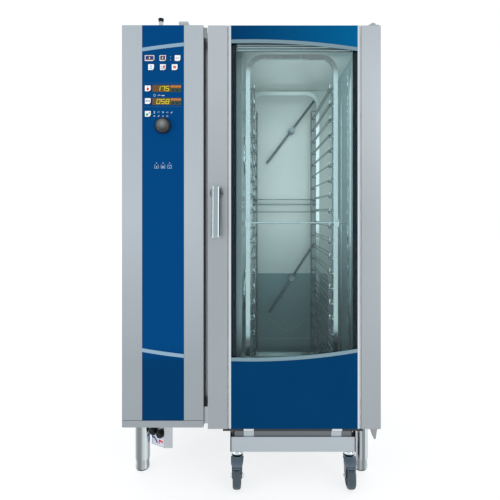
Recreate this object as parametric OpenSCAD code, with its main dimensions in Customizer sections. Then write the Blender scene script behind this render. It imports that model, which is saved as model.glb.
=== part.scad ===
// Roll-in combi steamer oven: a floor-standing cabinet with a technical column on the left, a tall
// glass door on the right and a wheeled rack for twenty trays. Millimetres, +Z up, front faces -Y.
// The origin is on the floor, under the middle of the whole object.

/* [Cabinet] */
// Width over the two side panels
oven_w = 993; // [990:1:996]
// Height of the roof above the floor
roof_z = 1795; // [1790:1:1800]
// Distance of the front faces in front of the origin
front_y = -423.5; // [-425:0.5:-423]
// Distance of the back panel behind the origin
back_y = 438.5; // [436:0.5:440]
// Height of the underside of the cabinet
body_z = 252; // [250:1:254]
// Thickness of the steel sheet of casings and liners
sheet = 2; // [1.5:0.1:2.5]

/* [Technical column] */
// Width of the column
column_w = 312.5; // [311:0.5:313]
// Left edge of the blue control panel
panel_x0 = -419; // [-421:0.5:-418]
// Width of the blue control panel
panel_w = 160.4; // [159:0.2:161]
// Side of a square key
key_side = 21.5; // [21:0.5:23]
// How far a key travels
key_travel = 1.2; // [0.8:0.1:1.5]
// Diameter of the selector knob
knob_d = 62; // [56:1:66]

/* [Door] */
// Left edge of the door
door_x0 = -167; // [-168:0.5:-166]
// Thickness of the door
door_t = 62; // [61:0.5:62]
// Underside of the door
door_z0 = 246.5; // [246:0.5:248]
// Width of each outer stile
stile_w = 75; // [70:1:76]
// Radius of the upper trim arc
arc_top_r = 2700; // [2600:10:2900]
// Height of the upper trim arc at its middle
arc_top_z = 1733; // [1725:1:1738]
// Radius of the lower trim arc
arc_low_r = 2400; // [2350:10:2600]
// Height of the lower trim arc at its middle
arc_low_z = 513; // [508:1:516]
// Width of the trims, across the arc
trim_w = 14; // [12:0.5:15]
// Length of the handle lever
lever_l = 197; // [180:1:200]

/* [Rack trolley] */
// Number of tray levels
levels = 20; // [18:1:20]
// Pitch of the tray levels
pitch = 63; // [62:0.5:63]
// Height of the top tray level
top_level = 1580; // [1576:1:1584]
// Middle of the rack, left to right
rack_x = 164.5; // [164:0.5:165]
// Distance between the centres of the left and right posts
rack_w = 362; // [361:0.5:363]
// Side of the square rack tube
tube = 18; // [16:0.5:18]
// Diameter of a runner rod
rod_d = 7; // [6:0.5:7]
// Diameter of a caster wheel
wheel_d = 96; // [92:1:98]
// Width of a caster wheel
wheel_w = 31; // [28:1:32]

/* [Hidden] */
$fn = 64;

// Gap left between neighbouring plates of one sub-part, and between separate bodies
seam = 0.2;
gap = 0.3;
// Radial clearance of a running fit
fit = 0.06;
eps = 0.5;

left_x = -oven_w / 2;
right_x = oven_w / 2;
column_x1 = left_x + column_w;
panel_x1 = panel_x0 + panel_w;
panel_t = 3;
panel_z0 = 279.5;
door_x1 = right_x;
door_z1 = roof_z - 1;
door_back_y = front_y + door_t;
face_y = -353;
inner_x0 = left_x + sheet + seam;
inner_x1 = right_x - sheet - seam;

// Cooking cavity
cav_x0 = -150;
cav_x1 = 440;
cav_y0 = -350;
cav_y1 = 321.5;
cav_z0 = 292;
cav_z1 = 1760;
sill_y = -336;
baffle_x = -43;

// Door parts
strip_w = 8;
groove_w = 6;
window_x0 = door_x0 + stile_w + groove_w + strip_w + seam;
window_x1 = door_x1 - stile_w - groove_w - strip_w - seam;
skin_y = front_y + 4.2;
lining_z1 = 505;
glass_z1 = 1759.5;
hinge_x = 472;
hinge_y = -400;
corner_cut = 13;
pin_r = 6;
handle_x = -131;
handle_z = 1150;
shaft_r = 8;

// Keys: name order as in NODES. Middle of each key, left to right and upwards, and its width
key_rows = [
  [-390, 1668, 36], [-339.5, 1668, 24], [-282.6, 1668, key_side],
  [-384.4, 1633.4, key_side], [-338.8, 1633.4, key_side], [-293.9, 1633.4, key_side],
  [-396.7, 1552, key_side], [-396.7, 1503.5, key_side], [-396.7, 1454.4, key_side]];
knob_x = -338.4;
knob_z = 1408.7;
knob_shaft_r = 5;

// Fans
fan_y = 0;
fan_z = [1350, 700];
fan_r = 165;
fan_shaft_r = 9;
shaft_x0 = -215;

// Wash arms
arm_x = 208;
arm_y = 285;
arm_z = [1529, 714];
arm_half = 228;
arm_tilt = [53, 57];
spindle_r = 8;

// Feet: left and right, front and rear
foot_x = [-462, 455.5];
foot_y = [-263, 390];
foot_r = 31.5;
glide_z = 48;

// Rack
rack_y = [-292.5, 246.5];
post_x = [rack_x - rack_w / 2, rack_x + rack_w / 2];
rack_z0 = 300;
rack_z1 = 1720;
bend_r = 56;
beam_x = [-78, 400.5];
beam_y = [-403.5, -353.5];
beam_z = [147.5, 205];
rail_x = [-40, 370];
bracket_x = [-10.5, 330];
shelf_z = [226, 232];
caster_x = [-56.5, 385.5];
caster_y = -365.5;
trail = 24;
wheel_r = wheel_d / 2;
bolt_r = 6;
stem_r = 7;
rail_z = [150, 190];
rear_wheel_y = 190;

// A box from its limits along each axis
module block(x, y, z) {
  translate([x[0], y[0], z[0]]) cube([x[1] - x[0], y[1] - y[0], z[1] - z[0]]);
}

// Cylinders along X and Y, starting at a point
module rod_x(p, r, l) {
  translate(p) rotate([0, 90, 0]) cylinder(r = r, h = l);
}

module rod_y(p, r, l) {
  translate(p) rotate([-90, 0, 0]) cylinder(r = r, h = l);
}

// A sheet in the plane of the front: its outline is drawn as seen from the front
module front_sheet(y0, t) {
  translate([0, y0 + t, 0]) rotate([90, 0, 0]) linear_extrude(t) children();
}

module outline(x, z) {
  translate([x[0], z[0]]) square([x[1] - x[0], z[1] - z[0]]);
}

module disc_above(r) {
  translate([0, arc_low_z + arc_low_r]) circle(r = r, $fn = 180);
}

module disc_below(r) {
  translate([0, arc_top_z - arc_top_r]) circle(r = r, $fn = 180);
}

// The two curved trims between two upright edges
module arc_trims(x) {
  half = trim_w / 2;
  trim_t = 1.8;
  reach = 130;
  front_sheet(front_y - trim_t - seam, trim_t) difference() {
    intersection() {
      outline(x, [arc_top_z - reach, arc_top_z + half + 1]);
      disc_below(arc_top_r + half);
    }
    disc_below(arc_top_r - half);
  }
  front_sheet(front_y - trim_t - seam, trim_t) difference() {
    intersection() {
      outline(x, [arc_low_z - half - 1, arc_low_z + reach]);
      disc_above(arc_low_r + half);
    }
    disc_above(arc_low_r - half);
  }
}

// ---- Cabinet ----

// Floor sheet under the cavity with a beam along each of its four edges
module base_frame() {
  beam_h = 34;
  beam_w = 30;
  floor_top = body_z + sheet;
  rear = back_y - sheet - seam;
  rear_beam_y = rear - beam_w - 8;
  z = [floor_top + seam, floor_top + seam + beam_h];
  color("silver") {
    block([column_x1 + seam, inner_x1], [rear_beam_y, rear], z);
    block([column_x1 + seam, column_x1 + beam_w], [sill_y + 4, rear_beam_y - 1], z);
    block([inner_x1 - beam_w, inner_x1], [face_y + 4, rear_beam_y - 1], z);
    block([column_x1 + beam_w + 1, inner_x1 - beam_w - 1], [sill_y + 4, sill_y + 4 + beam_w], z);
    block([column_x1, inner_x1], [sill_y, rear], [body_z, floor_top]);
  }
}

module side_panel(x0, y0) {
  block([x0, x0 + sheet], [y0, back_y], [body_z, roof_z]);
}

module left_side_panel() {
  color("silver") side_panel(left_x, front_y + panel_t + seam);
}

module right_side_panel() {
  color("silver") side_panel(right_x - sheet, face_y);
}

gland_x = -300;
gland_z = 340;
gland_bore_r = 13;

module back_panel() {
  color("silver") difference() {
    block([inner_x0, inner_x1], [back_y - sheet, back_y], [body_z, roof_z - sheet - seam]);
    rod_y([gland_x, back_y - 10, gland_z], gland_bore_r + 1, 20);
  }
}

module top_panel() {
  color("silver") {
    z = [roof_z - sheet, roof_z];
    block([inner_x0, column_x1], [front_y + panel_t + seam, back_y], z);
    block([column_x1 + seam, inner_x1], [face_y, back_y], z);
  }
}

// Wall between the technical column and the cavity, with the two fan shaft holes
module column_inner_wall() {
  color("gray") difference() {
    block([column_x1 - sheet, column_x1], [front_y + panel_t + seam, back_y - sheet - seam],
      [body_z + sheet + seam, roof_z - sheet - seam]);
    for (z = fan_z) rod_x([column_x1 - 10, fan_y, z], fan_shaft_r + fit, 20);
  }
}

module cavity_liner() {
  color("lightgray") {
    y = [cav_y0, cav_y1];
    block([cav_x0, cav_x1], [sill_y + 4, cav_y1], [cav_z0 - sheet, cav_z0]);
    block([cav_x0, cav_x1], y, [cav_z1, cav_z1 + sheet]);
    block([cav_x1 + seam, cav_x1 + seam + sheet], y, [cav_z0, cav_z1]);
    block([cav_x0, cav_x1], [cav_y1 + seam, cav_y1 + seam + sheet], [cav_z0 - sheet, cav_z1]);
    difference() {
      block([cav_x0 - seam - sheet, cav_x0 - seam], y, [cav_z0, cav_z1]);
      for (z = fan_z) rod_x([cav_x0 - 10, fan_y, z], fan_shaft_r + fit, 20);
    }
  }
}

// Landing that the door closes on: two posts, a header rail and a set-back sill with a skirt below it
module front_frame() {
  color("gray") {
    y = [face_y, face_y + 2.8];
    z_top = roof_z - sheet - seam;
    block([column_x1 + seam, cav_x0], y, [body_z + sheet + seam, z_top]);
    block([cav_x1, inner_x1], y, [body_z + sheet + seam, z_top]);
    block([cav_x0 + seam, cav_x1 - seam], y, [cav_z1, z_top]);
    block([cav_x0 + seam, cav_x1 - seam], [sill_y, sill_y + 3], [body_z + sheet + seam, cav_z0]);
    block([cav_x0 + seam, cav_x1 - seam], [sill_y, sill_y + 2], [beam_z[1], body_z - seam]);
  }
}

// Seal on three sides of the opening
module door_gasket() {
  w = 16;
  inset = 4;
  color("dimgray") {
    y = [door_back_y + gap, face_y];
    z = [cav_z0 - 2, cav_z1 + inset + w];
    block([cav_x0 - inset - w, cav_x0 - inset], y, z);
    block([cav_x1 + inset, cav_x1 + inset + w], y, z);
    block([cav_x0 - inset + seam, cav_x1 + inset - seam], y, [z[1] - w, z[1]]);
  }
}

// Air baffle in front of the fans, on six stand-offs
module fan_baffle() {
  intake_r = 90;
  y = [-310, 300];
  z = [cav_z0 + 20, 1730];
  post_inset = 26;
  post_r = 6;
  color("lightgray") {
    difference() {
      block([baffle_x, baffle_x + sheet], y, z);
      for (fz = fan_z) rod_x([baffle_x - 10, fan_y, fz], intake_r, 20);
    }
    for (py = [y[0] + post_inset, y[1] - post_inset],
         pz = [z[0] + post_inset, (z[0] + z[1]) / 2, z[1] - post_inset])
      rod_x([cav_x0 + seam, py, pz], post_r, baffle_x - cav_x0 - 2 * seam);
  }
}

// Ring heaters round each fan
module heating_elements() {
  ring_r = 195;
  sheath_r = 4.5;
  color("saddlebrown") for (z = fan_z, x = [-122, -98, -74])
    translate([x, fan_y, z]) rotate([0, 90, 0])
      rotate_extrude($fn = 96) translate([ring_r, 0]) circle(r = sheath_r, $fn = 24);
}

// Motor drums with their mounting flanges, each drilled for its fan shaft
module fan_motors() {
  drum_l = 170;
  flange_t = 12;
  flange_x = column_x1 - sheet - flange_t - seam * 9;
  color("dimgray") for (z = fan_z) difference() {
    union() {
      rod_x([flange_x - drum_l, fan_y, z], 68, drum_l + eps);
      rod_x([flange_x, fan_y, z], 85, flange_t);
    }
    rod_x([shaft_x0 - 6, fan_y, z], fan_shaft_r + fit, 60);
  }
}

module steam_generator() {
  tank_r = 95;
  tank_h = 420;
  translate([-350, 210, 300]) color("silver") {
    cylinder(r = tank_r, h = tank_h);
    translate([0, 0, tank_h + seam]) cylinder(r1 = tank_r, r2 = 60, h = 30);
  }
}

// ---- Column front ----

module column_fascia() {
  color("silver") {
    y = [front_y, front_y + panel_t];
    block([left_x, panel_x0 - seam], y, [panel_z0, roof_z]);
    block([panel_x1 + seam, column_x1], y, [panel_z0, roof_z]);
    block([left_x, column_x1], [front_y, front_y + sheet], [body_z, panel_z0 - 1.5]);
    block([inner_x0, column_x1 - seam], [front_y + sheet + seam, back_y - sheet - seam],
      [body_z, body_z + sheet]);
  }
}

// Key outline: square with its lower right corner well rounded
module key_outline(w, h) {
  r = 9;
  difference() {
    translate([-w / 2, -h / 2]) square([w, h]);
    translate([w / 2 - r, -h / 2]) difference() {
      translate([0, -1]) square([r + 1, r + 1]);
      translate([0, r]) circle(r = r);
    }
  }
}

module column_blue_panel() {
  color([0, 0.28, 0.5]) front_sheet(front_y, panel_t) difference() {
    outline([panel_x0, panel_x1], [panel_z0, roof_z]);
    translate([knob_x, knob_z]) circle(r = knob_shaft_r + fit);
    for (k = key_rows) translate([k[0], k[1]]) square([k[2] + 2 * gap, key_side + 2 * gap], center = true);
  }
}

module column_trims() {
  color("silver") arc_trims([panel_x0, panel_x1]);
}

module display_windows() {
  half_h = 13;
  color([0.35, 0.25, 0.1]) for (z = [1552, 1502.3])
    block([-379, -269], [front_y - 1.2, front_y], [z - half_h, z + half_h]);
}

module key_cap(i) {
  k = key_rows[i];
  proud = 2.5;
  cap_l = 8;
  color("white") translate([k[0], 0, k[1]])
    front_sheet(front_y - proud, cap_l) key_outline(k[2], key_side);
}

// Domed knob, turned in one piece with its shaft
module selector_knob() {
  r = knob_d / 2;
  h = 25;
  dome_r = 60;
  shaft_l = 14;
  color([0.1, 0.1, 0.1]) translate([knob_x, front_y - 0.5, knob_z]) rotate([90, 0, 0])
    rotate_extrude($fn = 96) union() {
      intersection() {
        square([r, h]);
        translate([0, h - dome_r]) circle(r = dome_r, $fn = 180);
      }
      translate([0, -shaft_l]) square([knob_shaft_r, shaft_l + eps]);
    }
}

// ---- Roof and underside ----

vent_x = -370;
roof_y = -323;
vent_h = 57;
cover_x = [-293, -257];
cover_h = 50;

module roof_vents() {
  color("silver") {
    translate([vent_x, roof_y, roof_z]) cylinder(r = 8.5, h = vent_h);
    block(cover_x, [roof_y - 18, roof_y + 22], [roof_z, roof_z + cover_h]);
  }
}

module vent_cap() {
  cap_h = 14;
  color([0.08, 0.08, 0.08]) translate([vent_x, roof_y, roof_z + vent_h])
    cylinder(r1 = 9.5, r2 = 11.5, h = cap_h);
}

// Upper and lower door brackets, each with its pin, and the stiffening wedge under the lower one
module hinge_brackets() {
  pin_l = 20;
  plate_t = 6;
  x = [hinge_x - 20, hinge_x + 20];
  y = [hinge_y - 14, face_y + 50];
  low_z = door_z0 - plate_t;
  color("dimgray") {
    translate([hinge_x, hinge_y, door_z1 - pin_l]) cylinder(r = pin_r, h = pin_l + 2);
    block(x, y, [roof_z, roof_z + plate_t]);
    translate([hinge_x, hinge_y, roof_z + plate_t]) cylinder(r = 10, h = 9);
    translate([hinge_x, hinge_y, low_z]) cylinder(r = pin_r, h = pin_l + plate_t);
    block(x, y, [low_z, door_z0 - 1]);
    block(x, [face_y + 3, y[1]], [low_z, body_z]);
    front_sheet(y[0], 30) polygon([
      [hinge_x - 12, low_z + 1], [hinge_x + 13, low_z + 1],
      [hinge_x + 7, low_z - 38], [hinge_x + 1, low_z - 38]]);
  }
}

module foot_tubes() {
  color("silver") for (x = foot_x, y = foot_y)
    translate([x, y, glide_z + seam]) cylinder(r = foot_r, h = body_z - glide_z - seam);
}

module foot_glides() {
  color("gray") for (x = foot_x, y = foot_y) translate([x, y, 0]) rotate_extrude()
    polygon([[0, 0], [22, 0], [28, 7], [29, 34], [27, glide_z], [0, glide_z]]);
}

// Water connection box under the column, with one slanting face for the inlets
box_corner = [-362, -303];
box_left = [-422, -268];
box_right_x = -327;
box_back_y = -150;
box_z = 105;

module water_box() {
  taper = 33;
  color("lightgray") translate([0, 0, box_z]) linear_extrude(body_z - box_z) polygon([
    box_left, box_corner, [box_right_x, box_corner[1]], [box_right_x - taper, box_back_y],
    [box_left[0], box_back_y]]);
}

// Points on the slanting face, and the way it looks
slant = box_left - box_corner;
slant_turn = atan2(slant[1], slant[0]);
inlet_t = [0.22, 0.78];
inlet_z = [163, 166];
inlet_r = 13.2;
inlet_l = 18;

module water_inlets() {
  color([0.08, 0.08, 0.08]) for (i = [0, 1])
    translate([box_corner[0] + slant[0] * inlet_t[i], box_corner[1] + slant[1] * inlet_t[i], inlet_z[i]])
      rotate([0, 0, slant_turn]) rotate([-90, 0, 0]) cylinder(r = inlet_r, h = inlet_l);
}

// Drain under the cavity floor, led out at the back
module drain_pipe() {
  x = 119;
  y = 290;
  z = 222;
  color("silver") difference() {
    union() {
      translate([x, y, z]) cylinder(r = 22, h = body_z - z);
      translate([x, y, z]) sphere(r = 22);
      rod_y([x, y, z], 22, back_y - 20 - y + eps);
      rod_y([x, back_y - 20, z], 25, 60);
    }
    rod_y([x, back_y - 20 + eps, z], 20, 70);
  }
}

module cable_gland() {
  color("black") difference() {
    union() {
      rod_y([gland_x, back_y, gland_z], 24, 14);
      rod_y([gland_x, back_y + 14 - eps, gland_z], 20, 20 + eps);
    }
    rod_y([gland_x, back_y - 5, gland_z], gland_bore_r, 50);
  }
}

// Spindle with its foot on the back wall and its front nut, one for each wash arm
module wash_arm_spindles() {
  front = arm_y - 22;
  nut_t = 5;
  foot = arm_y + 18;
  color("gray") for (z = arm_z) {
    rod_y([arm_x, front, z], spindle_r, cav_y1 - front);
    rod_y([arm_x, foot, z], 20, cav_y1 - foot);
    rod_y([arm_x, front - nut_t + 1, z], 11, nut_t);
  }
}

// ---- Moving parts inside the cavity ----

module fan_wheel(z) {
  blades = 24;
  hub_x = -112;
  disc_t = 3;
  blade_w = 52;
  inner_r = 112;
  color("silver") translate([0, fan_y, z]) {
    rod_x([shaft_x0, 0, 0], fan_shaft_r, 150);
    rod_x([hub_x, 0, 0], fan_r, disc_t);
    rod_x([hub_x + 2, 0, 0], 26, 40);
    for (i = [0 : blades - 1]) rotate([360 / blades * i, 0, 0])
      block([hub_x + 2, hub_x + 2 + blade_w], [-1, 1], [inner_r, fan_r - 2]);
    difference() {
      rod_x([hub_x + 1 + blade_w, 0, 0], fan_r, disc_t);
      rod_x([hub_x + blade_w - 2, 0, 0], inner_r - 2, 3 * disc_t);
    }
  }
}

module wash_arm(i) {
  hub_r = 16;
  hub_l = 34;
  tube_r = 6;
  color("silver") translate([arm_x, arm_y, arm_z[i]]) difference() {
    union() {
      rod_y([0, -hub_l / 2 - 1, 0], hub_r, hub_l);
      rotate([0, -arm_tilt[i], 0]) rod_x([-arm_half, 0, 0], tube_r, 2 * arm_half);
    }
    rod_y([0, -30, 0], spindle_r + fit, 60);
  }
}

// ---- Door ----

module door_side(s) {
  // s mirrors the left stile's depths to the right edge
  x0 = s > 0 ? door_x0 : door_x1;
  function at(a, b) = s > 0 ? [x0 + a, x0 + b] : [x0 - b, x0 - a];
  block(at(stile_w + seam, stile_w + groove_w - seam), [front_y + 10, door_back_y], [door_z0, door_z1]);
  block(at(stile_w + groove_w, stile_w + groove_w + strip_w), [front_y, door_back_y], [door_z0, door_z1]);
}

module door_frame() {
  color("silver") {
    difference() {
      block([door_x0, door_x0 + stile_w], [front_y, door_back_y], [door_z0, door_z1]);
      rod_y([handle_x, front_y - 5, handle_z], shaft_r + fit, door_t + 10);
    }
    // The rear corner beside the hinge is cut off, to clear the gasket as the door swings
    difference() {
      translate([0, 0, door_z0]) linear_extrude(door_z1 - door_z0) polygon([
        [door_x1 - stile_w, front_y], [door_x1, front_y], [door_x1, door_back_y - corner_cut],
        [door_x1 - corner_cut, door_back_y], [door_x1 - stile_w, door_back_y]]);
      for (z = [door_z0 - 5, door_z1 - 21])
        translate([hinge_x, hinge_y, z]) cylinder(r = pin_r + fit, h = 26);
    }
    for (s = [-1, 1]) door_side(s);
    block([window_x0, window_x1], [skin_y + seam, door_back_y], [glass_z1 + seam, door_z1]);
    block([window_x0, window_x1], [skin_y + seam, door_back_y], [door_z0, lining_z1]);
  }
}

module door_header() {
  color([0, 0.33, 0.53]) front_sheet(front_y, skin_y - front_y) difference() {
    outline([window_x0, window_x1], [arc_top_z - 60, door_z1]);
    disc_below(arc_top_r);
  }
}

module door_lower_panel() {
  color([0, 0.25, 0.42]) front_sheet(front_y, skin_y - front_y) difference() {
    outline([window_x0, window_x1], [door_z0, arc_low_z + 90]);
    disc_above(arc_low_r);
  }
}

module door_pane(y0, t) {
  color([0.6, 0.75, 0.75, 0.35])
    block([window_x0, window_x1], [y0, y0 + t], [lining_z1 + seam, glass_z1]);
}

module door_glass_outer() {
  door_pane(skin_y + seam, 6);
}

module door_glass_inner() {
  door_pane(door_back_y - 5.5, 5);
}

module door_trims() {
  color("silver") arc_trims([window_x0, window_x1]);
}

module door_bottom_seal() {
  seal_z = [262, 282];
  color("dimgray") block([cav_x0 + 10, cav_x1 - 8], [door_back_y + seam, door_back_y + 5], seal_z);
}

module door_drip_tray() {
  tray_x = [-110, 430];
  tray_h = 12;
  color([0.2, 0.2, 0.2])
    block(tray_x, [front_y + 8, door_back_y - 3], [door_z0 - tray_h, door_z0 - seam]);
}

// Lever with its boss on one shaft, and the latch behind the door
module door_handle() {
  lever_w = 35;
  lever_top = 27;
  lever_y = [front_y - 55, front_y - 20.5];
  crown_r = 38.5;
  boss_l = 23.5;
  latch_y = [door_back_y + 2, door_back_y + 6.5];
  color("gainsboro") translate([handle_x, 0, handle_z]) {
    rod_y([0, front_y - boss_l - eps, 0], 23, boss_l);
    rod_y([0, front_y - 1, 0], shaft_r, door_t + 6);
    intersection() {
      block([-lever_w / 2, lever_w / 2], lever_y, [lever_top - lever_l, lever_top]);
      translate([0, lever_y[0] + crown_r, -lever_l / 2])
        cylinder(r = crown_r, h = 2 * lever_l, center = true, $fn = 96);
    }
    block([-12, 12], latch_y, [-34, 12]);
  }
}

// ---- Rack trolley ----

// Closed loop of square tube: two posts, a top with two bends and a bottom bar
module rack_loop(y) {
  half = tube / 2;
  z_bend = rack_z1 + half - tube - bend_r;
  front_sheet(y - half, tube) {
    for (x = post_x) outline([x - half, x + half], [rack_z0, z_bend]);
    outline([post_x[0] + half + bend_r, post_x[1] - half - bend_r], [rack_z1 - half, rack_z1 + half]);
    outline([post_x[0], post_x[1]], [rack_z0, rack_z0 + tube]);
    for (s = [0, 1]) translate([post_x[s] + (s == 0 ? half + bend_r : -half - bend_r), z_bend])
      intersection() {
        difference() {
          circle(r = bend_r + tube);
          circle(r = bend_r);
        }
        translate([s == 0 ? -bend_r - tube : 0, 0]) square(bend_r + tube);
      }
  }
}

module rack_frames() {
  color("gainsboro") {
    for (y = rack_y) rack_loop(y);
    for (x = post_x) block([x - tube / 2, x + tube / 2],
      [rack_y[0] + tube / 2 + seam, rack_y[1] - tube / 2 - seam], [rack_z0, rack_z0 + tube]);
  }
}

// One tray level on one side: two cross stubs carry the support rod, and a guide rod runs along the posts
module runner(side, z) {
  r = rod_d / 2;
  face = post_x[side] + (side == 0 ? tube / 2 + seam : -tube / 2 - seam);
  dir = side == 0 ? 1 : -1;
  stub_l = 20;
  run = [rack_y[0] - tube / 2, rack_y[1] + tube / 2];
  for (y = rack_y) rod_x([dir > 0 ? face : face - stub_l, y, z], r, stub_l);
  rod_y([face + dir * (stub_l - r), run[0], z + rod_d + seam], r, run[1] - run[0]);
  rod_y([face + dir * r, run[0], z + 2 * rod_d + seam], r, run[1] - run[0]);
}

stop_z = 1034;
brace_z = [1078, 1119, 1146];

// Runners, two upright rods that stop the trays at the back, three rear braces, and the front
// retaining rod with its two clamps
module rack_runners() {
  front_face = rack_y[0] - tube / 2 - seam;
  stop_r = 4;
  stop_y = rack_y[1] + tube / 2 + seam + stop_r + 1;
  stop_half = 148.5;
  brace_r = [2.5, 4, 2.5];
  clamp = 16;
  color("lightgray") {
    for (side = [0, 1], i = [0 : levels - 1]) runner(side, top_level - i * pitch);
    for (x = [rack_x - stop_half, rack_x + stop_half])
      translate([x, stop_y, rack_z0 + 30]) cylinder(r = stop_r, h = 1290);
    for (i = [0 : 2])
      rod_x([post_x[0] - 6, stop_y + stop_r + brace_r[i] + 1, brace_z[i]], brace_r[i], rack_w + 12);
    rod_x([post_x[0] - 9, front_face - 4, stop_z], 3, rack_w + 50);
    for (x = post_x) block([x - 11, x + 11], [front_face - clamp, front_face - clamp / 2],
      [stop_z - clamp, stop_z + clamp]);
  }
}

// Shallow pan under the trays
module drip_pan() {
  depth = 15;
  x = [post_x[0] + tube / 2 + 1, post_x[1] - tube / 2 - 1];
  y = [rack_y[0] + tube / 2 + 1, rack_y[1] - tube / 2 - 1];
  z = [rack_z0, rack_z0 + depth];
  wall = 1.5;
  rim = wall + seam;
  color("silver") {
    block([x[0] + rim, x[1] - rim], [y[0] + rim, y[1] - rim], [z[0], z[0] + wall]);
    for (e = [x[0], x[1] - wall]) block([e, e + wall], y, z);
    for (e = [y[0], y[1] - wall]) block([x[0] + rim, x[1] - rim], [e, e + wall], z);
  }
}

// Front beam, side rails, rear bar and the two stepped brackets that carry the rack over the cavity sill
module trolley_base() {
  rail_w = 30;
  rear_y = 260;
  cap_t = 6;
  plate = 6;
  bracket_w = 39;
  front = beam_y[0] + 4;
  back = sill_y - 3;
  color("silver") {
    block([beam_x[0] + cap_t + seam, beam_x[1] - cap_t - seam], beam_y, beam_z);
    for (x = [beam_x[0], beam_x[1] - cap_t]) block([x, x + cap_t], beam_y, beam_z);
    for (x = rail_x)
      block([x - rail_w / 2, x + rail_w / 2], [beam_y[1] + seam, rear_y - rail_w - seam], rail_z);
    block([rail_x[0] - rail_w / 2, rail_x[1] + rail_w / 2], [rear_y - rail_w, rear_y], rail_z);
    for (b = bracket_x) {
      x = [b - bracket_w / 2, b + bracket_w / 2];
      block(x, [front, front + plate], [beam_z[1] + seam, shelf_z[0] - seam]);
      block(x, [front, back], shelf_z);
      block(x, [back - plate, back], [shelf_z[1] + seam, rack_z0 - seam]);
      block(x, [back + seam, rack_y[0] + 40], [rack_z0 - plate, rack_z0 - seam]);
    }
  }
}

// Front swivel heads and rear fixed forks with their bolts
module caster_mounts() {
  head_t = 5;
  stem_l = 15.5;
  plate_half = [22, 30];
  cheek_x = 18.5;
  cheek_half = [1.5, 16];
  color("gainsboro") {
    for (x = caster_x) {
      translate([x, caster_y, beam_z[0] - head_t]) cylinder(r = 24, h = head_t - seam);
      translate([x, caster_y, beam_z[0] - head_t - stem_l]) cylinder(r = stem_r, h = stem_l + eps);
    }
    for (x = rail_x) {
      block([x - plate_half[0], x + plate_half[0]],
        [rear_wheel_y - plate_half[1], rear_wheel_y + plate_half[1]],
        [rail_z[0] - head_t, rail_z[0] - seam]);
      for (s = [-1, 1]) block([x + s * cheek_x - cheek_half[0], x + s * cheek_x + cheek_half[0]],
        [rear_wheel_y - cheek_half[1], rear_wheel_y + cheek_half[1]], [26, rail_z[0] - head_t + eps]);
      rod_x([x - 24, rear_wheel_y, wheel_r], bolt_r, 48);
    }
  }
}

// Swivel fork: a crown round the head's stem, two cheeks, the wheel bolt and the brake pedal
module caster_fork(i) {
  x = caster_x[i];
  axle_y = caster_y - trail;
  cheek = 3;
  inside = wheel_w / 2 + 1.5;
  crown_z = [102, beam_z[0] - 6];
  pedal_z = [99, 105];
  color("slategray") difference() {
    union() {
      translate([x, caster_y, crown_z[0]]) cylinder(r = 22, h = crown_z[1] - crown_z[0]);
      for (s = [-1, 1]) translate([x + s * (inside + cheek / 2) - cheek / 2, 0, 0])
        rotate([90, 0, 90]) linear_extrude(cheek) polygon([
          [caster_y + 18, 122], [caster_y - 20, 122], [axle_y - 12, wheel_r + 4], [axle_y - 8, wheel_r - 12],
          [axle_y + 8, wheel_r - 12], [axle_y + 14, wheel_r + 10]]);
      block([x - inside - 1, x + inside + 1], [caster_y - 20, caster_y + 18], [crown_z[0], 122]);
      rod_x([x - inside - cheek - 6, axle_y, wheel_r], bolt_r, 2 * (inside + cheek + 6));
      block([x - 14, x + 14], [caster_y - 58, caster_y - 19], pedal_z);
      block([x - 14, x + 14], [caster_y - 24, caster_y - 18], [pedal_z[0], 108]);
    }
    translate([x, caster_y, beam_z[0] - 21]) cylinder(r = stem_r + fit, h = 30);
  }
}

module wheel(x, y) {
  bevel = 4;
  translate([x, y, wheel_r]) rotate([0, 90, 0]) rotate_extrude($fn = 96) polygon([
    [bolt_r + fit, -wheel_w / 2], [wheel_r - bevel, -wheel_w / 2], [wheel_r, -wheel_w / 2 + bevel],
    [wheel_r, wheel_w / 2 - bevel], [wheel_r - bevel, wheel_w / 2], [bolt_r + fit, wheel_w / 2]]);
}

module caster_wheel(i) {
  color("slategray") wheel(caster_x[i], caster_y - trail);
}

module rear_wheels() {
  color("slategray") for (x = rail_x) wheel(x, rear_wheel_y);
}

base_frame();
left_side_panel();
right_side_panel();
back_panel();
top_panel();
column_inner_wall();
cavity_liner();
front_frame();
door_gasket();
fan_baffle();
heating_elements();
fan_motors();
steam_generator();
column_fascia();
column_blue_panel();
column_trims();
display_windows();
roof_vents();
vent_cap();
hinge_brackets();
foot_tubes();
foot_glides();
water_box();
water_inlets();
drain_pipe();
cable_gland();
wash_arm_spindles();
selector_knob();
key_cap(0);  // key_program
key_cap(1);  // key_humidity
key_cap(2);  // key_fan_speed
key_cap(3);  // key_steam
key_cap(4);  // key_combi
key_cap(5);  // key_hot_air
key_cap(6);  // key_temperature
key_cap(7);  // key_time
key_cap(8);  // key_start
fan_wheel(fan_z[0]);  // fan_wheel_upper
fan_wheel(fan_z[1]);  // fan_wheel_lower
wash_arm(0);  // wash_arm_upper
wash_arm(1);  // wash_arm_lower
door_frame();
door_header();
door_lower_panel();
door_glass_outer();
door_glass_inner();
door_trims();
door_bottom_seal();
door_drip_tray();
door_handle();
rack_frames();
rack_runners();
drip_pan();
trolley_base();
caster_mounts();
caster_fork(0);  // caster_fork_left
caster_fork(1);  // caster_fork_right
caster_wheel(0);  // caster_wheel_left
caster_wheel(1);  // caster_wheel_right
rear_wheels();
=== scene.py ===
import math

import bmesh
import bpy
from mathutils import Matrix, Vector


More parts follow.
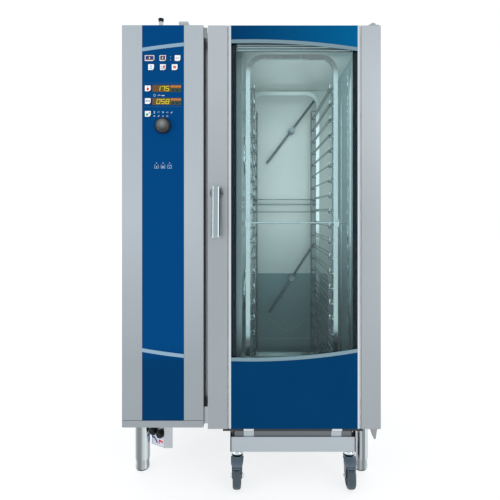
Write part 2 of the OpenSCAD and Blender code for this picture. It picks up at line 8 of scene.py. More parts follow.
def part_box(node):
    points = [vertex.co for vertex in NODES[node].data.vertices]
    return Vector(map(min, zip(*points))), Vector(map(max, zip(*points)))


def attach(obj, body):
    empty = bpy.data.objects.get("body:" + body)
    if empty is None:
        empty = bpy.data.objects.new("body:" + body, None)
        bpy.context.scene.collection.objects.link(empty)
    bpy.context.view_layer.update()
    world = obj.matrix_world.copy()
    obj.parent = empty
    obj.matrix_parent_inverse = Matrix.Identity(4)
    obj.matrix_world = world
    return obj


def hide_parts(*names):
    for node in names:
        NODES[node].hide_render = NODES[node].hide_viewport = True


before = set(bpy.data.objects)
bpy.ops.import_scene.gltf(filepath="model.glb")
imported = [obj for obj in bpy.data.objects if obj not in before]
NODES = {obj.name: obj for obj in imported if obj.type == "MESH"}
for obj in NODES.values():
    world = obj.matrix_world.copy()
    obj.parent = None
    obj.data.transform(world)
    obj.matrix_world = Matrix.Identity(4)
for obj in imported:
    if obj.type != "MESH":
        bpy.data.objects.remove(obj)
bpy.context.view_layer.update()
MM = 0.001


def mm(vector):
    return tuple(c / MM for c in vector)


def span(node):
    """The two corners of a node's box, in millimetres."""
    lo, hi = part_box(node)
    return mm(lo), mm(hi)


# ---- Places taken from the frame ----

PANEL_LO, PANEL_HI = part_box("column_blue_panel")
DOOR_LO, DOOR_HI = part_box("door_frame")
PANE_LO, PANE_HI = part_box("door_glass_outer")
INNER_LO, INNER_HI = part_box("door_glass_inner")
LINER_LO, LINER_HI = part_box("cavity_liner")
HANDLE_LO, HANDLE_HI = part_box("door_handle")
ROOF_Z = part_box("top_panel")[1].z
FRONT_Y = DOOR_LO.y
FACE_Y = FRONT_Y / MM
# Door hinge pin, handle shaft and cavity drain, in millimetres
HINGE_X, HINGE_Y = 472, -400
HANDLE_X, HANDLE_Z = -131, 1150
DRAIN_X, DRAIN_Y = 119, 215
# Door stile, the groove beside it, and the bright strip between groove and glass
STILE_W, GROOVE_W, STRIP_W = 75, 6, 8
# Middle and half width of the rack brackets, and underside and top of the trolley beam
BRACKET_X, BRACKET_HALF = (-10.5, 330), 19.5
BEAM_Z = (147.5, 205)
LABEL_T = 0.3
# Inlet places on the slanting face of the water box: share of its width, and height
INLETS = ((0.22, 163), (0.78, 166))
UP, FRONT, BACK = (0, 0, 1), (0, -1, 0), (0, 1, 0)


# ---- Camera, floor and light ----

def make_camera():
    """Level camera in front of the door, a little right of the middle of the oven."""
    distance, height = 1.6, 1.08
    # Picture widths to a metre, in the plane of the door's front
    widths_per_metre = 0.5216
    data = bpy.data.cameras.new("camera")
    cam = bpy.data.objects.new("camera", data)
    bpy.context.scene.collection.objects.link(cam)
    data.sensor_width = 36
    data.lens = data.sensor_width * (widths_per_metre * distance)
    data.shift_x = -0.02
    data.shift_y = -0.0768
    cam.location = (0.033, FRONT_Y - distance, height)
    cam.rotation_euler = (math.radians(90), 0, 0)
    bpy.context.scene.camera = cam


def area_light(name, place, target, size, watts, colour=(1, 1, 1), hidden=True):
    data = bpy.data.lights.new(name, "AREA")
    data.shape = "RECTANGLE"
    data.size, data.size_y = size
    data.energy = watts
    data.color = colour
    obj = bpy.data.objects.new(name, data)
    bpy.context.scene.collection.objects.link(obj)
    obj.location = place
    obj.rotation_euler = (Vector(target) - Vector(place)).to_track_quat("-Z", "Y").to_euler()
    obj.visible_camera = not hidden
    return obj


def black_card(name, x):
    """Dark card beside the oven, out of the camera's sight: it puts dark edges on bright round metal."""
    near, far, low, high = -1.9, -0.85, 0.5, 1.7
    mesh = bpy.data.meshes.new(name)
    mesh.from_pydata([(x, near, low), (x, far, low), (x, far, high), (x, near, high)], [], [(0, 1, 2, 3)])
    card = bpy.data.objects.new(name, mesh)
    bpy.context.scene.collection.objects.link(card)
    mat, tree, shader = material(name + "_felt", (0.01, 0.01, 0.01), roughness=0.9)
    vary_colour(tree, shader, noise(tree, (40, 40, 40), 3), (0.008, 0.008, 0.008), (0.014, 0.014, 0.014))
    shader.inputs["Specular IOR Level"].default_value = 0
    mesh.materials.append(mat)
    card.visible_camera = False
    card.visible_diffuse = False


def cavity_light():
    """The oven's own lamp: a soft panel inside the rack, washing the back wall of the cavity."""
    width = (INNER_HI.x - INNER_LO.x) * 0.8
    low, high = 0.92, LINER_HI.z - 0.06
    lamp_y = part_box("rack_frames")[0].y + 0.05
    middle = ((INNER_LO.x + INNER_HI.x) / 2, lamp_y, (low + high) / 2)
    right = middle[0] + 0.13
    area_light("oven_lamp", (right, lamp_y, middle[2]), (right, LINER_HI.y, middle[2] - 0.05), (width, high - low),
               1.85,
               (1, 0.99, 0.96))
    area_light("oven_lamp_up", (middle[0], 0, 1.42), (middle[0], 0.001, LINER_HI.z), (width * 0.8, 0.45), 0.22,
               (1, 0.99, 0.96))
    fill_low, fill_high = 0.6, LINER_HI.z + 0.01
    fill_z = (fill_low + fill_high) / 2
    area_light("oven_fill", (middle[0], INNER_HI.y + 0.012, fill_z), (middle[0], LINER_HI.y, fill_z),
               (width * 1.2, fill_high - fill_low), 0.6, (1, 0.99, 0.96))


def make_studio():
    world = bpy.data.worlds.new("studio")
    bpy.context.scene.world = world
    world.use_nodes = True
    back = world.node_tree.nodes["Background"]
    back.inputs["Color"].default_value = (0.97, 0.985, 1, 1)
    back.inputs["Strength"].default_value = 1.04
    bpy.context.scene.view_settings.view_transform = "Standard"
    lever = (0, FRONT_Y, 1.1)
    area_light("softbox_right", (2.0, -2.5, 1.2), lever, (0.75, 2.4), 12)
    area_light("softbox_left", (-2.5, -1.75, 1.2), lever, (0.5, 2.4), 13)
    for side in (-1, 1):
        black_card("card_left" if side < 0 else "card_right", side * 2.9)
    cavity_light()

    mesh = bpy.data.meshes.new("floor")
    side = 14
    mesh.from_pydata([(-side, -side, 0), (side, -side, 0), (side, side, 0), (-side, side, 0)], [], [(0, 1, 2, 3)])
    floor = bpy.data.objects.new("floor", mesh)
    bpy.context.scene.collection.objects.link(floor)
    mat, tree, shader = material("floor_paint", (0.5, 0.5, 0.5), roughness=0.8)
    grain = noise(tree, (3, 3, 3), 4)
    vary_colour(tree, shader, grain, (0.25, 0.255, 0.26), (0.28, 0.285, 0.29))
    shader.inputs["Emission Color"].default_value = (0.98, 0.99, 1, 1)
    shader.inputs["Emission Strength"].default_value = 0.76
    mesh.materials.append(mat)


# ---- Materials ----

def material(name, colour, metallic=0.0, roughness=0.5):
    mat = bpy.data.materials.new(name)
    mat.use_nodes = True
    shader = mat.node_tree.nodes["Principled BSDF"]
    shader.inputs["Base Color"].default_value = (*colour, 1)
    shader.inputs["Metallic"].default_value = metallic
    shader.inputs["Roughness"].default_value = roughness
    return mat, mat.node_tree, shader


def add(tree, kind, inputs, **settings):
    """A shader node. An input given as a socket is linked, and any other value is set on the node itself."""
    node = tree.nodes.new("ShaderNode" + kind)
    for key, value in settings.items():
        setattr(node, key, value)
    for key, value in inputs.items():
        if isinstance(value, bpy.types.NodeSocket):
            tree.links.new(value, node.inputs[key])
        else:
            node.inputs[key].default_value = value
    return node


def object_place(tree):
    return add(tree, "TexCoord", {}).outputs["Object"]


def noise(tree, scale, detail=3, rough=0.6):
    """Noise over object coordinates, stretched by a scale along each axis."""
    stretched = add(tree, "Mapping", {"Scale": scale, "Vector": object_place(tree)}).outputs["Vector"]
    return add(tree, "TexNoise", {"Scale": 1, "Detail": detail, "Roughness": rough, "Vector": stretched}).outputs["Fac"]


def remap(tree, value, low, high, at=(0.3, 0.7)):
    return add(tree, "MapRange", {"From Min": at[0], "From Max": at[1], "To Min": low, "To Max": high,
                                  "Value": value}).outputs["Result"]


def vary_colour(tree, shader, value, first, second, at=(0.3, 0.7)):
    ramp = add(tree, "ValToRGB", {"Fac": value})
    for element, position, colour in zip(ramp.color_ramp.elements, at, (first, second)):
        element.position = position
        element.color = (*colour, 1)
    tree.links.new(ramp.outputs["Color"], shader.inputs["Base Color"])


def vary_roughness(tree, shader, value, low, high):
    tree.links.new(remap(tree, value, low, high), shader.inputs["Roughness"])


def bump(tree, shader, height, strength, distance):
    node = add(tree, "Bump", {"Strength": strength, "Distance": distance, "Height": height})
    tree.links.new(node.outputs["Normal"], shader.inputs["Normal"])


def shade(colour, factor):
    return tuple(min(1, c * factor) for c in colour)


def axis_value(tree, axis):
    """One object coordinate, in metres."""
    return add(tree, "SeparateXYZ", {"Vector": object_place(tree)}).outputs[axis]


def brushed(name, colour, along, roughness=(0.3, 0.42), spread=0.05, strength=0.12, painted_shade_low=None):
    """Stainless steel with its grain along one axis: fine streaks, faint clouds and uneven gloss.

    The last option, (height, height, factor), darkens the metal's colour more and more from the first height down to
    the second, and by the whole factor below it: painted shade, low on the oven."""
    mat, tree, shader = material(name, colour, metallic=1.0)
    fine, coarse = 1400, 14
    grain = noise(tree, [coarse if a == along else fine for a in "XYZ"], 4, 0.7)
    cloud = noise(tree, (2.2, 2.2, 1.6), 3)
    mixed = add(tree, "Math", {0: grain, 1: 0.6, 2: remap(tree, cloud, 0.12, 0.28)}, operation="MULTIPLY_ADD")
    vary_colour(tree, shader, mixed.outputs[0], shade(colour, 1 - spread), shade(colour, 1 + spread))
    if painted_shade_low:
        high, low, factor = painted_shade_low
        tone = shader.inputs["Base Color"].links[0].from_socket
        blend = add(tree, "Mix", {"A": tone, "B": (factor, factor, factor * 0.99, 1),
                                  "Factor": remap(tree, axis_value(tree, "Z"), 1, 0, (low, high))},
                    data_type="RGBA", blend_type="MULTIPLY")
        tree.links.new(blend.outputs["Result"], shader.inputs["Base Color"])
    vary_roughness(tree, shader, grain, *roughness)
    bump(tree, shader, grain, strength, 0.00004)
    shader.inputs["Anisotropic"].default_value = 0.35
    return mat


def polished(name, colour, roughness=(0.12, 0.24), wave=0.25):
    """Bright sheet or tube: long soft waves in the surface and fine scratches."""
    mat, tree, shader = material(name, colour, metallic=1.0)
    scratch = noise(tree, (260, 260, 40), 5, 0.7)
    vary_colour(tree, shader, scratch, shade(colour, 0.95), shade(colour, 1.03))
    vary_roughness(tree, shader, scratch, *roughness)
    bump(tree, shader, noise(tree, (5, 5, 3.2), 2), wave, 0.004)
    return mat


def drawn_tube(name, colour):
    """Drawn steel tube: fine die lines, under broad darker and lighter stripes along its length, placed at random round
    it, that are painted reflection streaks.
    """
    mat, tree, shader = material(name, colour, metallic=1.0)
    # Broad stripes up the tube: painted reflection streaks
    reflection_bands = noise(tree, (46, 46, 0.5), 2, 0.5)
    lines = noise(tree, (900, 900, 8), 3)
    vary_colour(tree, shader, reflection_bands, shade(colour, 0.42), shade(colour, 1.6), (0.36, 0.62))
    vary_roughness(tree, shader, lines, 0.1, 0.2)
    bump(tree, shader, lines, 0.1, 0.00003)
    return mat


def satin(name, colour):
    """Blasted sheet: scatters light evenly, with a fine pebble, faint drifts and dull water marks."""
    mat, tree, shader = material(name, colour, metallic=0.6, roughness=0.5)
    drift = noise(tree, (3.2, 3.2, 2.4), 4)
    vary_colour(tree, shader, drift, shade(colour, 0.94), shade(colour, 1.06))
    vary_roughness(tree, shader, drift, 0.42, 0.56)
    bump(tree, shader, noise(tree, (700, 700, 700), 3), 0.05, 0.00003)
    return mat


def dome_painted_highlight(name):
    """Black plastic of the knob: glossy, and grey round a spot a little above the middle of its face, fading to black
    towards the rim: a painted highlight.
    """
    lo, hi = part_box("selector_knob")
    mat, tree, shader = material(name, (0.01, 0.01, 0.01), roughness=0.3)
    # Middle of the painted highlight, a little above the middle of the knob's face
    highlight_spot = ((lo.x + hi.x) / 2, lo.y, (lo.z + hi.z) / 2 + 0.006)
    away = add(tree, "VectorMath", {0: object_place(tree), 1: highlight_spot}, operation="DISTANCE")
    rim = (hi.x - lo.x) / 2
    vary_colour(tree, shader, remap(tree, away.outputs["Value"], 0, 1, (0, rim * 0.75)),
                (0.21, 0.22, 0.225), (0.012, 0.013, 0.014), (0, 1))
    grain = noise(tree, (1600, 1600, 1600), 3)
    vary_roughness(tree, shader, grain, 0.26, 0.36)
    bump(tree, shader, grain, 0.08, 0.00005)
    return mat


def painted(name, colour, roughness=0.28, second=None, span=None, axis="X"):
    """Smooth enamel with a faint orange-peel surface; the colour may instead change between two tones along one axis,
    which paints light and shade on it.
    """
    mat, tree, shader = material(name, colour, roughness=roughness)
    peel = noise(tree, (900, 900, 900), 2)
    if second:
        vary_colour(tree, shader, remap(tree, axis_value(tree, axis), 0, 1, span), colour, second, (0, 1))
    else:
        vary_colour(tree, shader, noise(tree, (4, 4, 2.5), 3), shade(colour, 0.94), shade(colour, 1.06))
    vary_roughness(tree, shader, peel, roughness - 0.05, roughness + 0.05)
    bump(tree, shader, peel, 0.06, 0.00005)
    shader.inputs["Specular IOR Level"].default_value = 0.015
    return mat


def moulded(name, colour, roughness=0.45, grain_size=1500, strength=0.15, sheen=0.5):
    """Moulded plastic or rubber: pebbled grain, slightly uneven gloss and rubbed lighter patches."""
    mat, tree, shader = material(name, colour, roughness=roughness)
    rubbed = noise(tree, (28, 28, 28), 4)
    vary_colour(tree, shader, rubbed, shade(colour, 0.88), shade(colour, 1.14))
    vary_roughness(tree, shader, rubbed, roughness - 0.08, roughness + 0.1)
    bump(tree, shader, noise(tree, (grain_size,) * 3, 3), strength, 0.00008)
    shader.inputs["Specular IOR Level"].default_value = sheen
    return mat


def lit(name, colour, strength):
    """Glowing display segment, a little uneven along its length."""
    mat, tree, shader = material(name, shade(colour, 0.5), roughness=0.4)
    shader.inputs["Emission Color"].default_value = (*colour, 1)
    shader.inputs["Emission Strength"].default_value = strength
    vary_roughness(tree, shader, noise(tree, (500, 500, 500), 2), 0.3, 0.5)
    return mat


def pane(name, tint, straight_on):
    """Thin tempered glass, tinted and faintly smeared.

    It mirrors straight_on of the light seen face on, and more at a slant."""
    mat = bpy.data.materials.new(name)
    mat.use_nodes = True
    tree = mat.node_tree
    tree.nodes.remove(tree.nodes["Principled BSDF"])
    clear = add(tree, "BsdfTransparent", {"Color": (*tint, 1)})
    smear = remap(tree, noise(tree, (9, 9, 5), 5), 0.015, 0.07)
    gloss = add(tree, "BsdfGlossy", {"Color": (0.9, 0.97, 0.98, 1), "Roughness": smear})
    facing = add(tree, "LayerWeight", {"Blend": 0.5})
    steep = add(tree, "Math", {0: facing.outputs["Facing"], 1: 5}, operation="POWER")
    sheen = add(tree, "Math", {0: steep.outputs[0], 1: 1 - straight_on, 2: straight_on}, operation="MULTIPLY_ADD")
    mix = add(tree, "MixShader", {"Fac": sheen.outputs[0], 1: clear.outputs["BSDF"], 2: gloss.outputs["BSDF"]})
    tree.links.new(mix.outputs["Shader"], tree.nodes["Material Output"].inputs["Surface"])
    return mat


STEEL = (0.445, 0.49, 0.525)
RECIPES = {
    # Upright and door steel darken towards the bottom: painted shade.
    "steel_upright": (brushed, STEEL, "Z", {"painted_shade_low": (1.05, 0.5, 0.74)}),
    "steel_door": (brushed, (0.46, 0.5, 0.53), "Z", {"painted_shade_low": (1.6, 1.05, 0.76)}),
    "steel_level": (brushed, STEEL, "X"),
    "steel_bright": (brushed, (0.62, 0.66, 0.7), "Z", (0.18, 0.28)),
    "steel_casing": (brushed, (0.47, 0.5, 0.53), "Z"),
    "steel_roof": (brushed, (0.47, 0.5, 0.53), "Y"),
    "steel_mill": (brushed, (0.3, 0.32, 0.33), "Z", (0.4, 0.55)),
    "steel_dim": (brushed, (0.16, 0.175, 0.185), "X", (0.35, 0.5)),
    "steel_foot": (drawn_tube, (0.51, 0.555, 0.57)),
    "liner": (polished, (0.62, 0.68, 0.67)),
    "tube": (polished, (0.55, 0.605, 0.62), (0.2, 0.3), 0.01),
    "rod": (polished, (0.66, 0.71, 0.72), (0.12, 0.22), 0.02),
    # Darker copy of the rod steel, on the runners: painted shade
    "rod_dark": (polished, (0.2, 0.25, 0.26), (0.12, 0.22), 0.02),
    # Dark copy of the polished steel, on the wash arms: painted shade
    "arm": (polished, (0.13, 0.17, 0.18), (0.1, 0.18), 0.02),
    "side_sheet": (satin, (0.5, 0.67, 0.72)),
    "flange_sheet": (satin, (0.24, 0.31, 0.33)),
    # Darker satin of the sheet over the lower back wall: painted shadow
    "splash": (satin, (0.185, 0.3, 0.325)),
    # Satin of the ceiling sheet, lighter than the back wall's: painted light
    "ceiling": (satin, (0.8, 0.86, 0.85)),
    "chrome": (polished, (0.82, 0.85, 0.87), (0.06, 0.12), 0.02),
    "trim": (brushed, (0.27, 0.41, 0.53), "X", (0.25, 0.35)),
    "trim_door": (brushed, (0.2, 0.3, 0.345), "X", (0.25, 0.35)),
    # The column panel's blue turns darker below about half a metre, which is painted shade; the door header's blue
    # grows lighter towards the right, which is painted light.
    "blue_panel": (painted, (0.0006, 0.036, 0.12), 0.28, (0.0006, 0.052, 0.182), (0.5, 0.56), "Z"),
    "blue_header": (painted, (0.0006, 0.034, 0.11), 0.25, (0.0006, 0.098, 0.245),
                           (PANE_LO.x, PANE_HI.x)),
    "blue_lower": (painted, (0.0006, 0.038, 0.118)),
    "glass": (pane, (0.935, 0.975, 0.978), 0.01),
    "back_satin": (satin, (0.6, 0.66, 0.655)),
    "bead": (satin, (0.24, 0.35, 0.37)),
    "lever": (polished, (0.33, 0.385, 0.41), (0.055, 0.07), 0.0),
    # Darker copy of the polished steel, on the handle's boss and rose: painted shade
    "boss": (polished, (0.16, 0.18, 0.19), (0.2, 0.3), 0.0),
    "dome": (polished, (0.7, 0.76, 0.8), (0.05, 0.1), 0.01),
    "knob_black": (dome_painted_highlight,),
    "enamel_black": (painted, (0.002, 0.009, 0.015), 0.2),
    "black": (moulded, (0.006, 0.006, 0.007), 0.25, {"sheen": 0.16}),
    "key_white": (moulded, (0.8, 0.81, 0.83), 0.35, 1500, 0.05),
    "icon_white": (painted, (0.5, 0.62, 0.72), 0.5),
    "icon_dim": (painted, (0.06, 0.12, 0.17), 0.5),
    "icon_red": (painted, (0.75, 0.03, 0.03), 0.4),
    "icon_cyan": (painted, (0.05, 0.42, 0.75), 0.4),
    "icon_navy": (painted, (0.02, 0.05, 0.22), 0.4),
    "icon_green": (painted, (0.02, 0.4, 0.08), 0.4),
    "icon_brown": (painted, (0.22, 0.12, 0.08), 0.4),
    "display_amber": (painted, (0.14, 0.075, 0.028), 0.2),
    "display_dark": (painted, (0.04, 0.065, 0.06), 0.2),
    "display_orange": (painted, (0.45, 0.17, 0.05), 0.3),
    "digit": (lit, (0.72, 0.75, 0.03), 0.62),
    "rubber": (moulded, (0.014, 0.015, 0.016), 0.6, {"sheen": 0.2}),
    "seal_grey": (moulded, (0.52, 0.54, 0.55), 0.5),
    "glide": (moulded, (0.22, 0.23, 0.235), 0.4, 900, 0.1),
    "caster": (moulded, (0.075, 0.11, 0.145), 0.38),
    "tyre": (moulded, (0.035, 0.055, 0.07), 0.5),
    "coated": (moulded, (0.014, 0.014, 0.014), 0.35),
    "heater": (moulded, (0.08, 0.05, 0.035), 0.5),
    "motor": (painted, (0.03, 0.035, 0.04), 0.4),
    "label": (painted, (0.6, 0.66, 0.74), 0.5),
}


def mix_paint(name, recipe, *values):
    """Calls a recipe from the table; a dictionary at the end of its values holds the named ones."""
    options = values[-1] if values and isinstance(values[-1], dict) else {}
    return recipe(name, *values[:len(values) - bool(options)], **options)


M = {name: mix_paint(name, *values) for name, values in RECIPES.items()}

NODE_MATERIAL = {node: mat for mat, nodes in {
    "steel_mill": "base_frame column_inner_wall hinge_brackets",
    "steel_casing": "left_side_panel right_side_panel back_panel front_frame "
                    "steam_generator roof_vents water_box drain_pipe",
    "steel_roof": "top_panel",
    "liner": "cavity_liner fan_baffle fan_wheel_upper fan_wheel_lower drip_pan",
    "rubber": "door_gasket door_bottom_seal",
    "heater": "heating_elements",
    "motor": "fan_motors",
    "steel_upright": "column_fascia",
    "blue_panel": "column_blue_panel",
    "trim": "column_trims",
    "display_amber": "display_windows",
    "black": "vent_cap water_inlets cable_gland",
    "steel_foot": "foot_tubes",
    "glide": "foot_glides",
    "arm": "wash_arm_spindles wash_arm_upper wash_arm_lower",
    "knob_black": "selector_knob",
    "steel_door": "door_frame",
    "blue_header": "door_header",
    "blue_lower": "door_lower_panel",
    "glass": "door_glass_outer door_glass_inner",
    "trim_door": "door_trims",
    "coated": "door_drip_tray",
    "chrome": "door_handle caster_mounts",
    "tube": "rack_frames",
    "rod_dark": "rack_runners",
    "steel_level": "trolley_base",
    "caster": "caster_fork_left caster_fork_right",
    "tyre": "caster_wheel_left caster_wheel_right rear_wheels",
}.items() for node in nodes.split()}


def dress_nodes():
    """Every CAD node gets its material, and small rounded edges where the real one is folded or moulded."""
    rounded = {"column_fascia": 0.8, "door_frame": 1.2, "column_trims": 0.7, "door_trims": 0.7,
               "left_side_panel": 0.5, "right_side_panel": 0.5, "top_panel": 0.5, "trolley_base": 1.0,
               "water_box": 0.8, "roof_vents": 0.8, "rack_frames": 1.6, "door_drip_tray": 1.5}
    for name, obj in NODES.items():
        key = NODE_MATERIAL.get(name, "key_white" if name.startswith("key_") else None)
        obj.data.materials.clear()
        obj.data.materials.append(M[key])
        if name in rounded or name.startswith("key_"):
            add_bevel(obj, rounded.get(name, 0.8) * MM, 2)


def add_bevel(obj, width, segments=3, angle=35):
    mod = obj.modifiers.new("bevel", "BEVEL")
    mod.width = width
    mod.segments = segments
    mod.limit_method = "ANGLE"
    mod.angle_limit = math.radians(angle)
    mod.harden_normals = False


# ---- Mesh helpers (millimetres in, metres out) ----

def finish_piece(bm, name, mat, body, slot, smooth=False, bevel=0.0, replaces=()):
    mesh = bpy.data.meshes.new(name)
    bmesh.ops.recalc_face_normals(bm, faces=bm.faces)
    bm.transform(Matrix.Scale(MM, 4))
    bm.to_mesh(mesh)
    bm.free()
    mesh.materials.append(M[mat])
    obj = bpy.data.objects.new(name, mesh)
    bpy.context.scene.collection.objects.link(obj)
    if smooth:
        mesh.shade_smooth()
        mesh.set_sharp_from_angle(angle=math.radians(38))
    if bevel:
        add_bevel(obj, bevel * MM)
    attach(obj, body)
    if replaces:
        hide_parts(*replaces)
    return obj


def box(bm, x, y, z):
    corners = [bm.verts.new((a, b, c)) for a in x for b in y for c in z]
    for face in ((0, 1, 3, 2), (4, 6, 7, 5), (0, 4, 5, 1), (2, 3, 7, 6), (0, 2, 6, 4), (1, 5, 7, 3)):
        bm.faces.new([corners[i] for i in face])


def sheet(bm, outline, y0, y1):
    """A closed plate from an outline of (x, z) points, between two depths."""
    prism(bm, [(x, y0, z) for x, z in outline], [(x, y1, z) for x, z in outline])


def lathe(bm, profile, centre, axis, segments=48, scale=None):
    """Turns (radius, height) points round an axis through centre. A radius of 0 closes the end."""
    axis = Vector(axis).normalized()
    side = axis.orthogonal().normalized()
    other = axis.cross(side)
    rings = []
    for radius, height in profile:
        base = Vector(centre) + axis * height
        if radius < 1e-6:
            rings.append([bm.verts.new(base)])
            continue
        ring = []
        for i in range(segments):
            angle = math.tau * i / segments
            r = radius * (scale(angle, radius, height) if scale else 1)
            ring.append(bm.verts.new(base + side * (r * math.cos(angle)) + other * (r * math.sin(angle))))
        rings.append(ring)
    for a, b in zip(rings, rings[1:]):
        for i in range(segments):
            j = (i + 1) % segments
            corners = [a[i % len(a)], a[j % len(a)], b[j % len(b)], b[i % len(b)]]
            corners = list(dict.fromkeys(corners))
            if len(corners) > 2:
                bm.faces.new(corners)
    for ring in (rings[0], rings[-1]):
        if len(ring) > 2:
            bm.faces.new(ring)


def prism(bm, near, far):
    """Closes two matching rings of points into a solid."""
    near = [bm.verts.new(p) for p in near]
    far = [bm.verts.new(p) for p in far]
    bm.faces.new(near)
    bm.faces.new(far[::-1])
    for i in range(len(near)):
        j = (i + 1) % len(near)
        bm.faces.new((near[i], near[j], far[j], far[i]))


def rounded(x, z, r, steps=8, corners=(1, 1, 1, 1)):
    """Outline of a rectangle whose corners (lower left, lower right, upper right, upper left) may be round."""
    points = []
    spots = ((x[0], z[0], 180), (x[1], z[0], 270), (x[1], z[1], 0), (x[0], z[1], 90))
    for (cx, cz, start), on in zip(spots, corners):
        if not on:
            points.append((cx, cz))
            continue
        mx = cx + r if cx == x[0] else cx - r
        mz = cz + r if cz == z[0] else cz - r
        for i in range(steps + 1):
            angle = math.radians(start + 90 * i / steps)
            points.append((mx + r * math.cos(angle), mz + r * math.sin(angle)))
    return points


def rod(bm, points, r, segments=12, squash=1.0):
    """A round bar along a list of points; squash flattens it along Y."""
    points = [Vector(p) for p in points]
    rings = []
    for i, point in enumerate(points):
        ahead = points[min(i + 1, len(points) - 1)] - points[max(i - 1, 0)]
        along_y = abs(ahead.normalized().y) > 0.9
        side = (ahead.orthogonal() if along_y else ahead.cross((0, 1, 0))).normalized()
        other = ahead.cross(side).normalized()
        ring = []
        for k in range(segments):
            angle = math.tau * k / segments
            offset = side * (r * math.cos(angle)) + other * (r * math.sin(angle))
            offset.y *= squash
            ring.append(bm.verts.new(point + offset))
        rings.append(ring)
    for a, b in zip(rings, rings[1:]):
        for k in range(segments):
            n = (k + 1) % segments
            bm.faces.new((a[k], a[n], b[n], b[k]))
    bm.faces.new(rings[0])
    bm.faces.new(rings[-1][::-1])


def screws(bm, places, axis, r=4.5, head=2.4):
    """Round-headed screws with a socket, standing on a face."""
    for centre in places:
        lathe(bm, [(0, -0.4), (r, -0.4), (r, head * 0.45), (r * 0.8, head * 0.9), (r * 0.45, head),
                   (r * 0.4, head * 0.35),
                   (0, head * 0.35)], centre, axis, 20)


def make(name, mat, body, slot, build, **options):
    """One piece from a function that fills an empty mesh. It is called at once, so it may use a loop's own names."""
    bm = bmesh.new()
    build(bm)
    return finish_piece(bm, name, mat, body, slot, **options)


# ---- Control panel ----

PRINT_T = 0.25


def flat_marks(name, marks, y, mat, body="cabinet", slot="key_plastic"):
    """Printed marks standing a hair proud of a front face.

    Each is a bar (x0, z0, x1, z1, width) or a dot (x, z, radius)."""
    dot_sides = 16

    def build(bm):
        for mark in marks:
            if len(mark) == 3:
                x, z, r = mark
                turns = [math.tau * i / dot_sides for i in range(dot_sides)]
                sheet(bm, [(x + r * math.cos(turn), z + r * math.sin(turn)) for turn in turns], y - PRINT_T, y)
                continue
            a, b, width = Vector(mark[:2]), Vector(mark[2:4]), mark[4]
            along = (b - a).normalized()
            across = Vector((-along.y, along.x)) * (width / 2)
            sheet(bm, [tuple(p) for p in (a - across, b - across, b + across, a + across)], y - PRINT_T, y)

    return make(name, mat, body, slot, build)


def shift(marks, x, z):
    """Bars and dots moved from the origin to a centre."""
    return [(x + m[0], z + m[1], m[2]) if len(m) == 3 else (x + m[0], z + m[1], x + m[2], z + m[3], m[4])
            for m in marks]


SEGMENTS = {"0": "abcdef", "1": "bc", "5": "acdfg", "7": "abc", "8": "abcdefg"}


def digit_marks(text, x, z, width=12, height=17, pitch=17, stroke=1.7, lean=0.16):
    """Seven-segment digits, leaning a little to the right."""
    ends = {"a": (0, 1, 1, 1), "b": (1, 1, 1, 0.5), "c": (1, 0.5, 1, 0), "d": (0, 0, 1, 0),
            "e": (0, 0.5, 0, 0), "f": (0, 1, 0, 0.5), "g": (0, 0.5, 1, 0.5)}
    marks = []
    for i, char in enumerate(text):
        for segment in SEGMENTS[char]:
            u0, v0, u1, v1 = ends[segment]
            points = []
            for u, v in ((u0, v0), (u1, v1)):
                points += [x + i * pitch + u * width + (v - 0.5) * height * lean, z + (v - 0.5) * height]
            marks.append((*points, stroke))
    return marks


def control_panel():
    win_lo, win_hi = span("display_windows")
    tall, bars = 26, 4
    front = win_lo[1]
    split = win_lo[0] + 0.63 * (win_hi[0] - win_lo[0])
    step = (win_hi[0] - 1 - split) / bars
    depth = (front - PRINT_T, front)
    for label, z, digits in (("upper", win_hi[2] - tall / 2, "175"), ("lower", win_lo[2] + tall / 2, "058")):
        make(f"display_info_{label}", "display_dark", "cabinet", "display",
             lambda bm: box(bm, (split + 1, win_hi[0] - 0.5), depth, (z - tall / 2 + 1, z + 1)))
        make(f"display_bars_{label}", "display_orange", "cabinet", "display",
             lambda bm: [box(bm, (split + 1 + i * step, split + (i + 1) * step), depth, (z + 3, z + tall / 2 - 1.5))
                         for i in range(bars)])
        flat_marks(f"display_digits_{label}", digit_marks(digits, win_lo[0] + 17, z - 0.5), front, "digit",
                   slot="display")
        flat_marks(f"display_status_{label}", [(split + 9, z - 9, split + 9, z - 2, 2), (split + 25, z - 7, 2.5)],
                   front, "icon_white", slot="display")
    # Thin rules above and below the displays
    x0, x1 = PANEL_LO.x / MM + 5, PANEL_HI.x / MM - 5
    flat_marks("panel_rules", [(x0, z, x1, z, 0.7) for z in (1572.5, 1482.4)], FACE_Y, "icon_dim")
    panel_symbols()


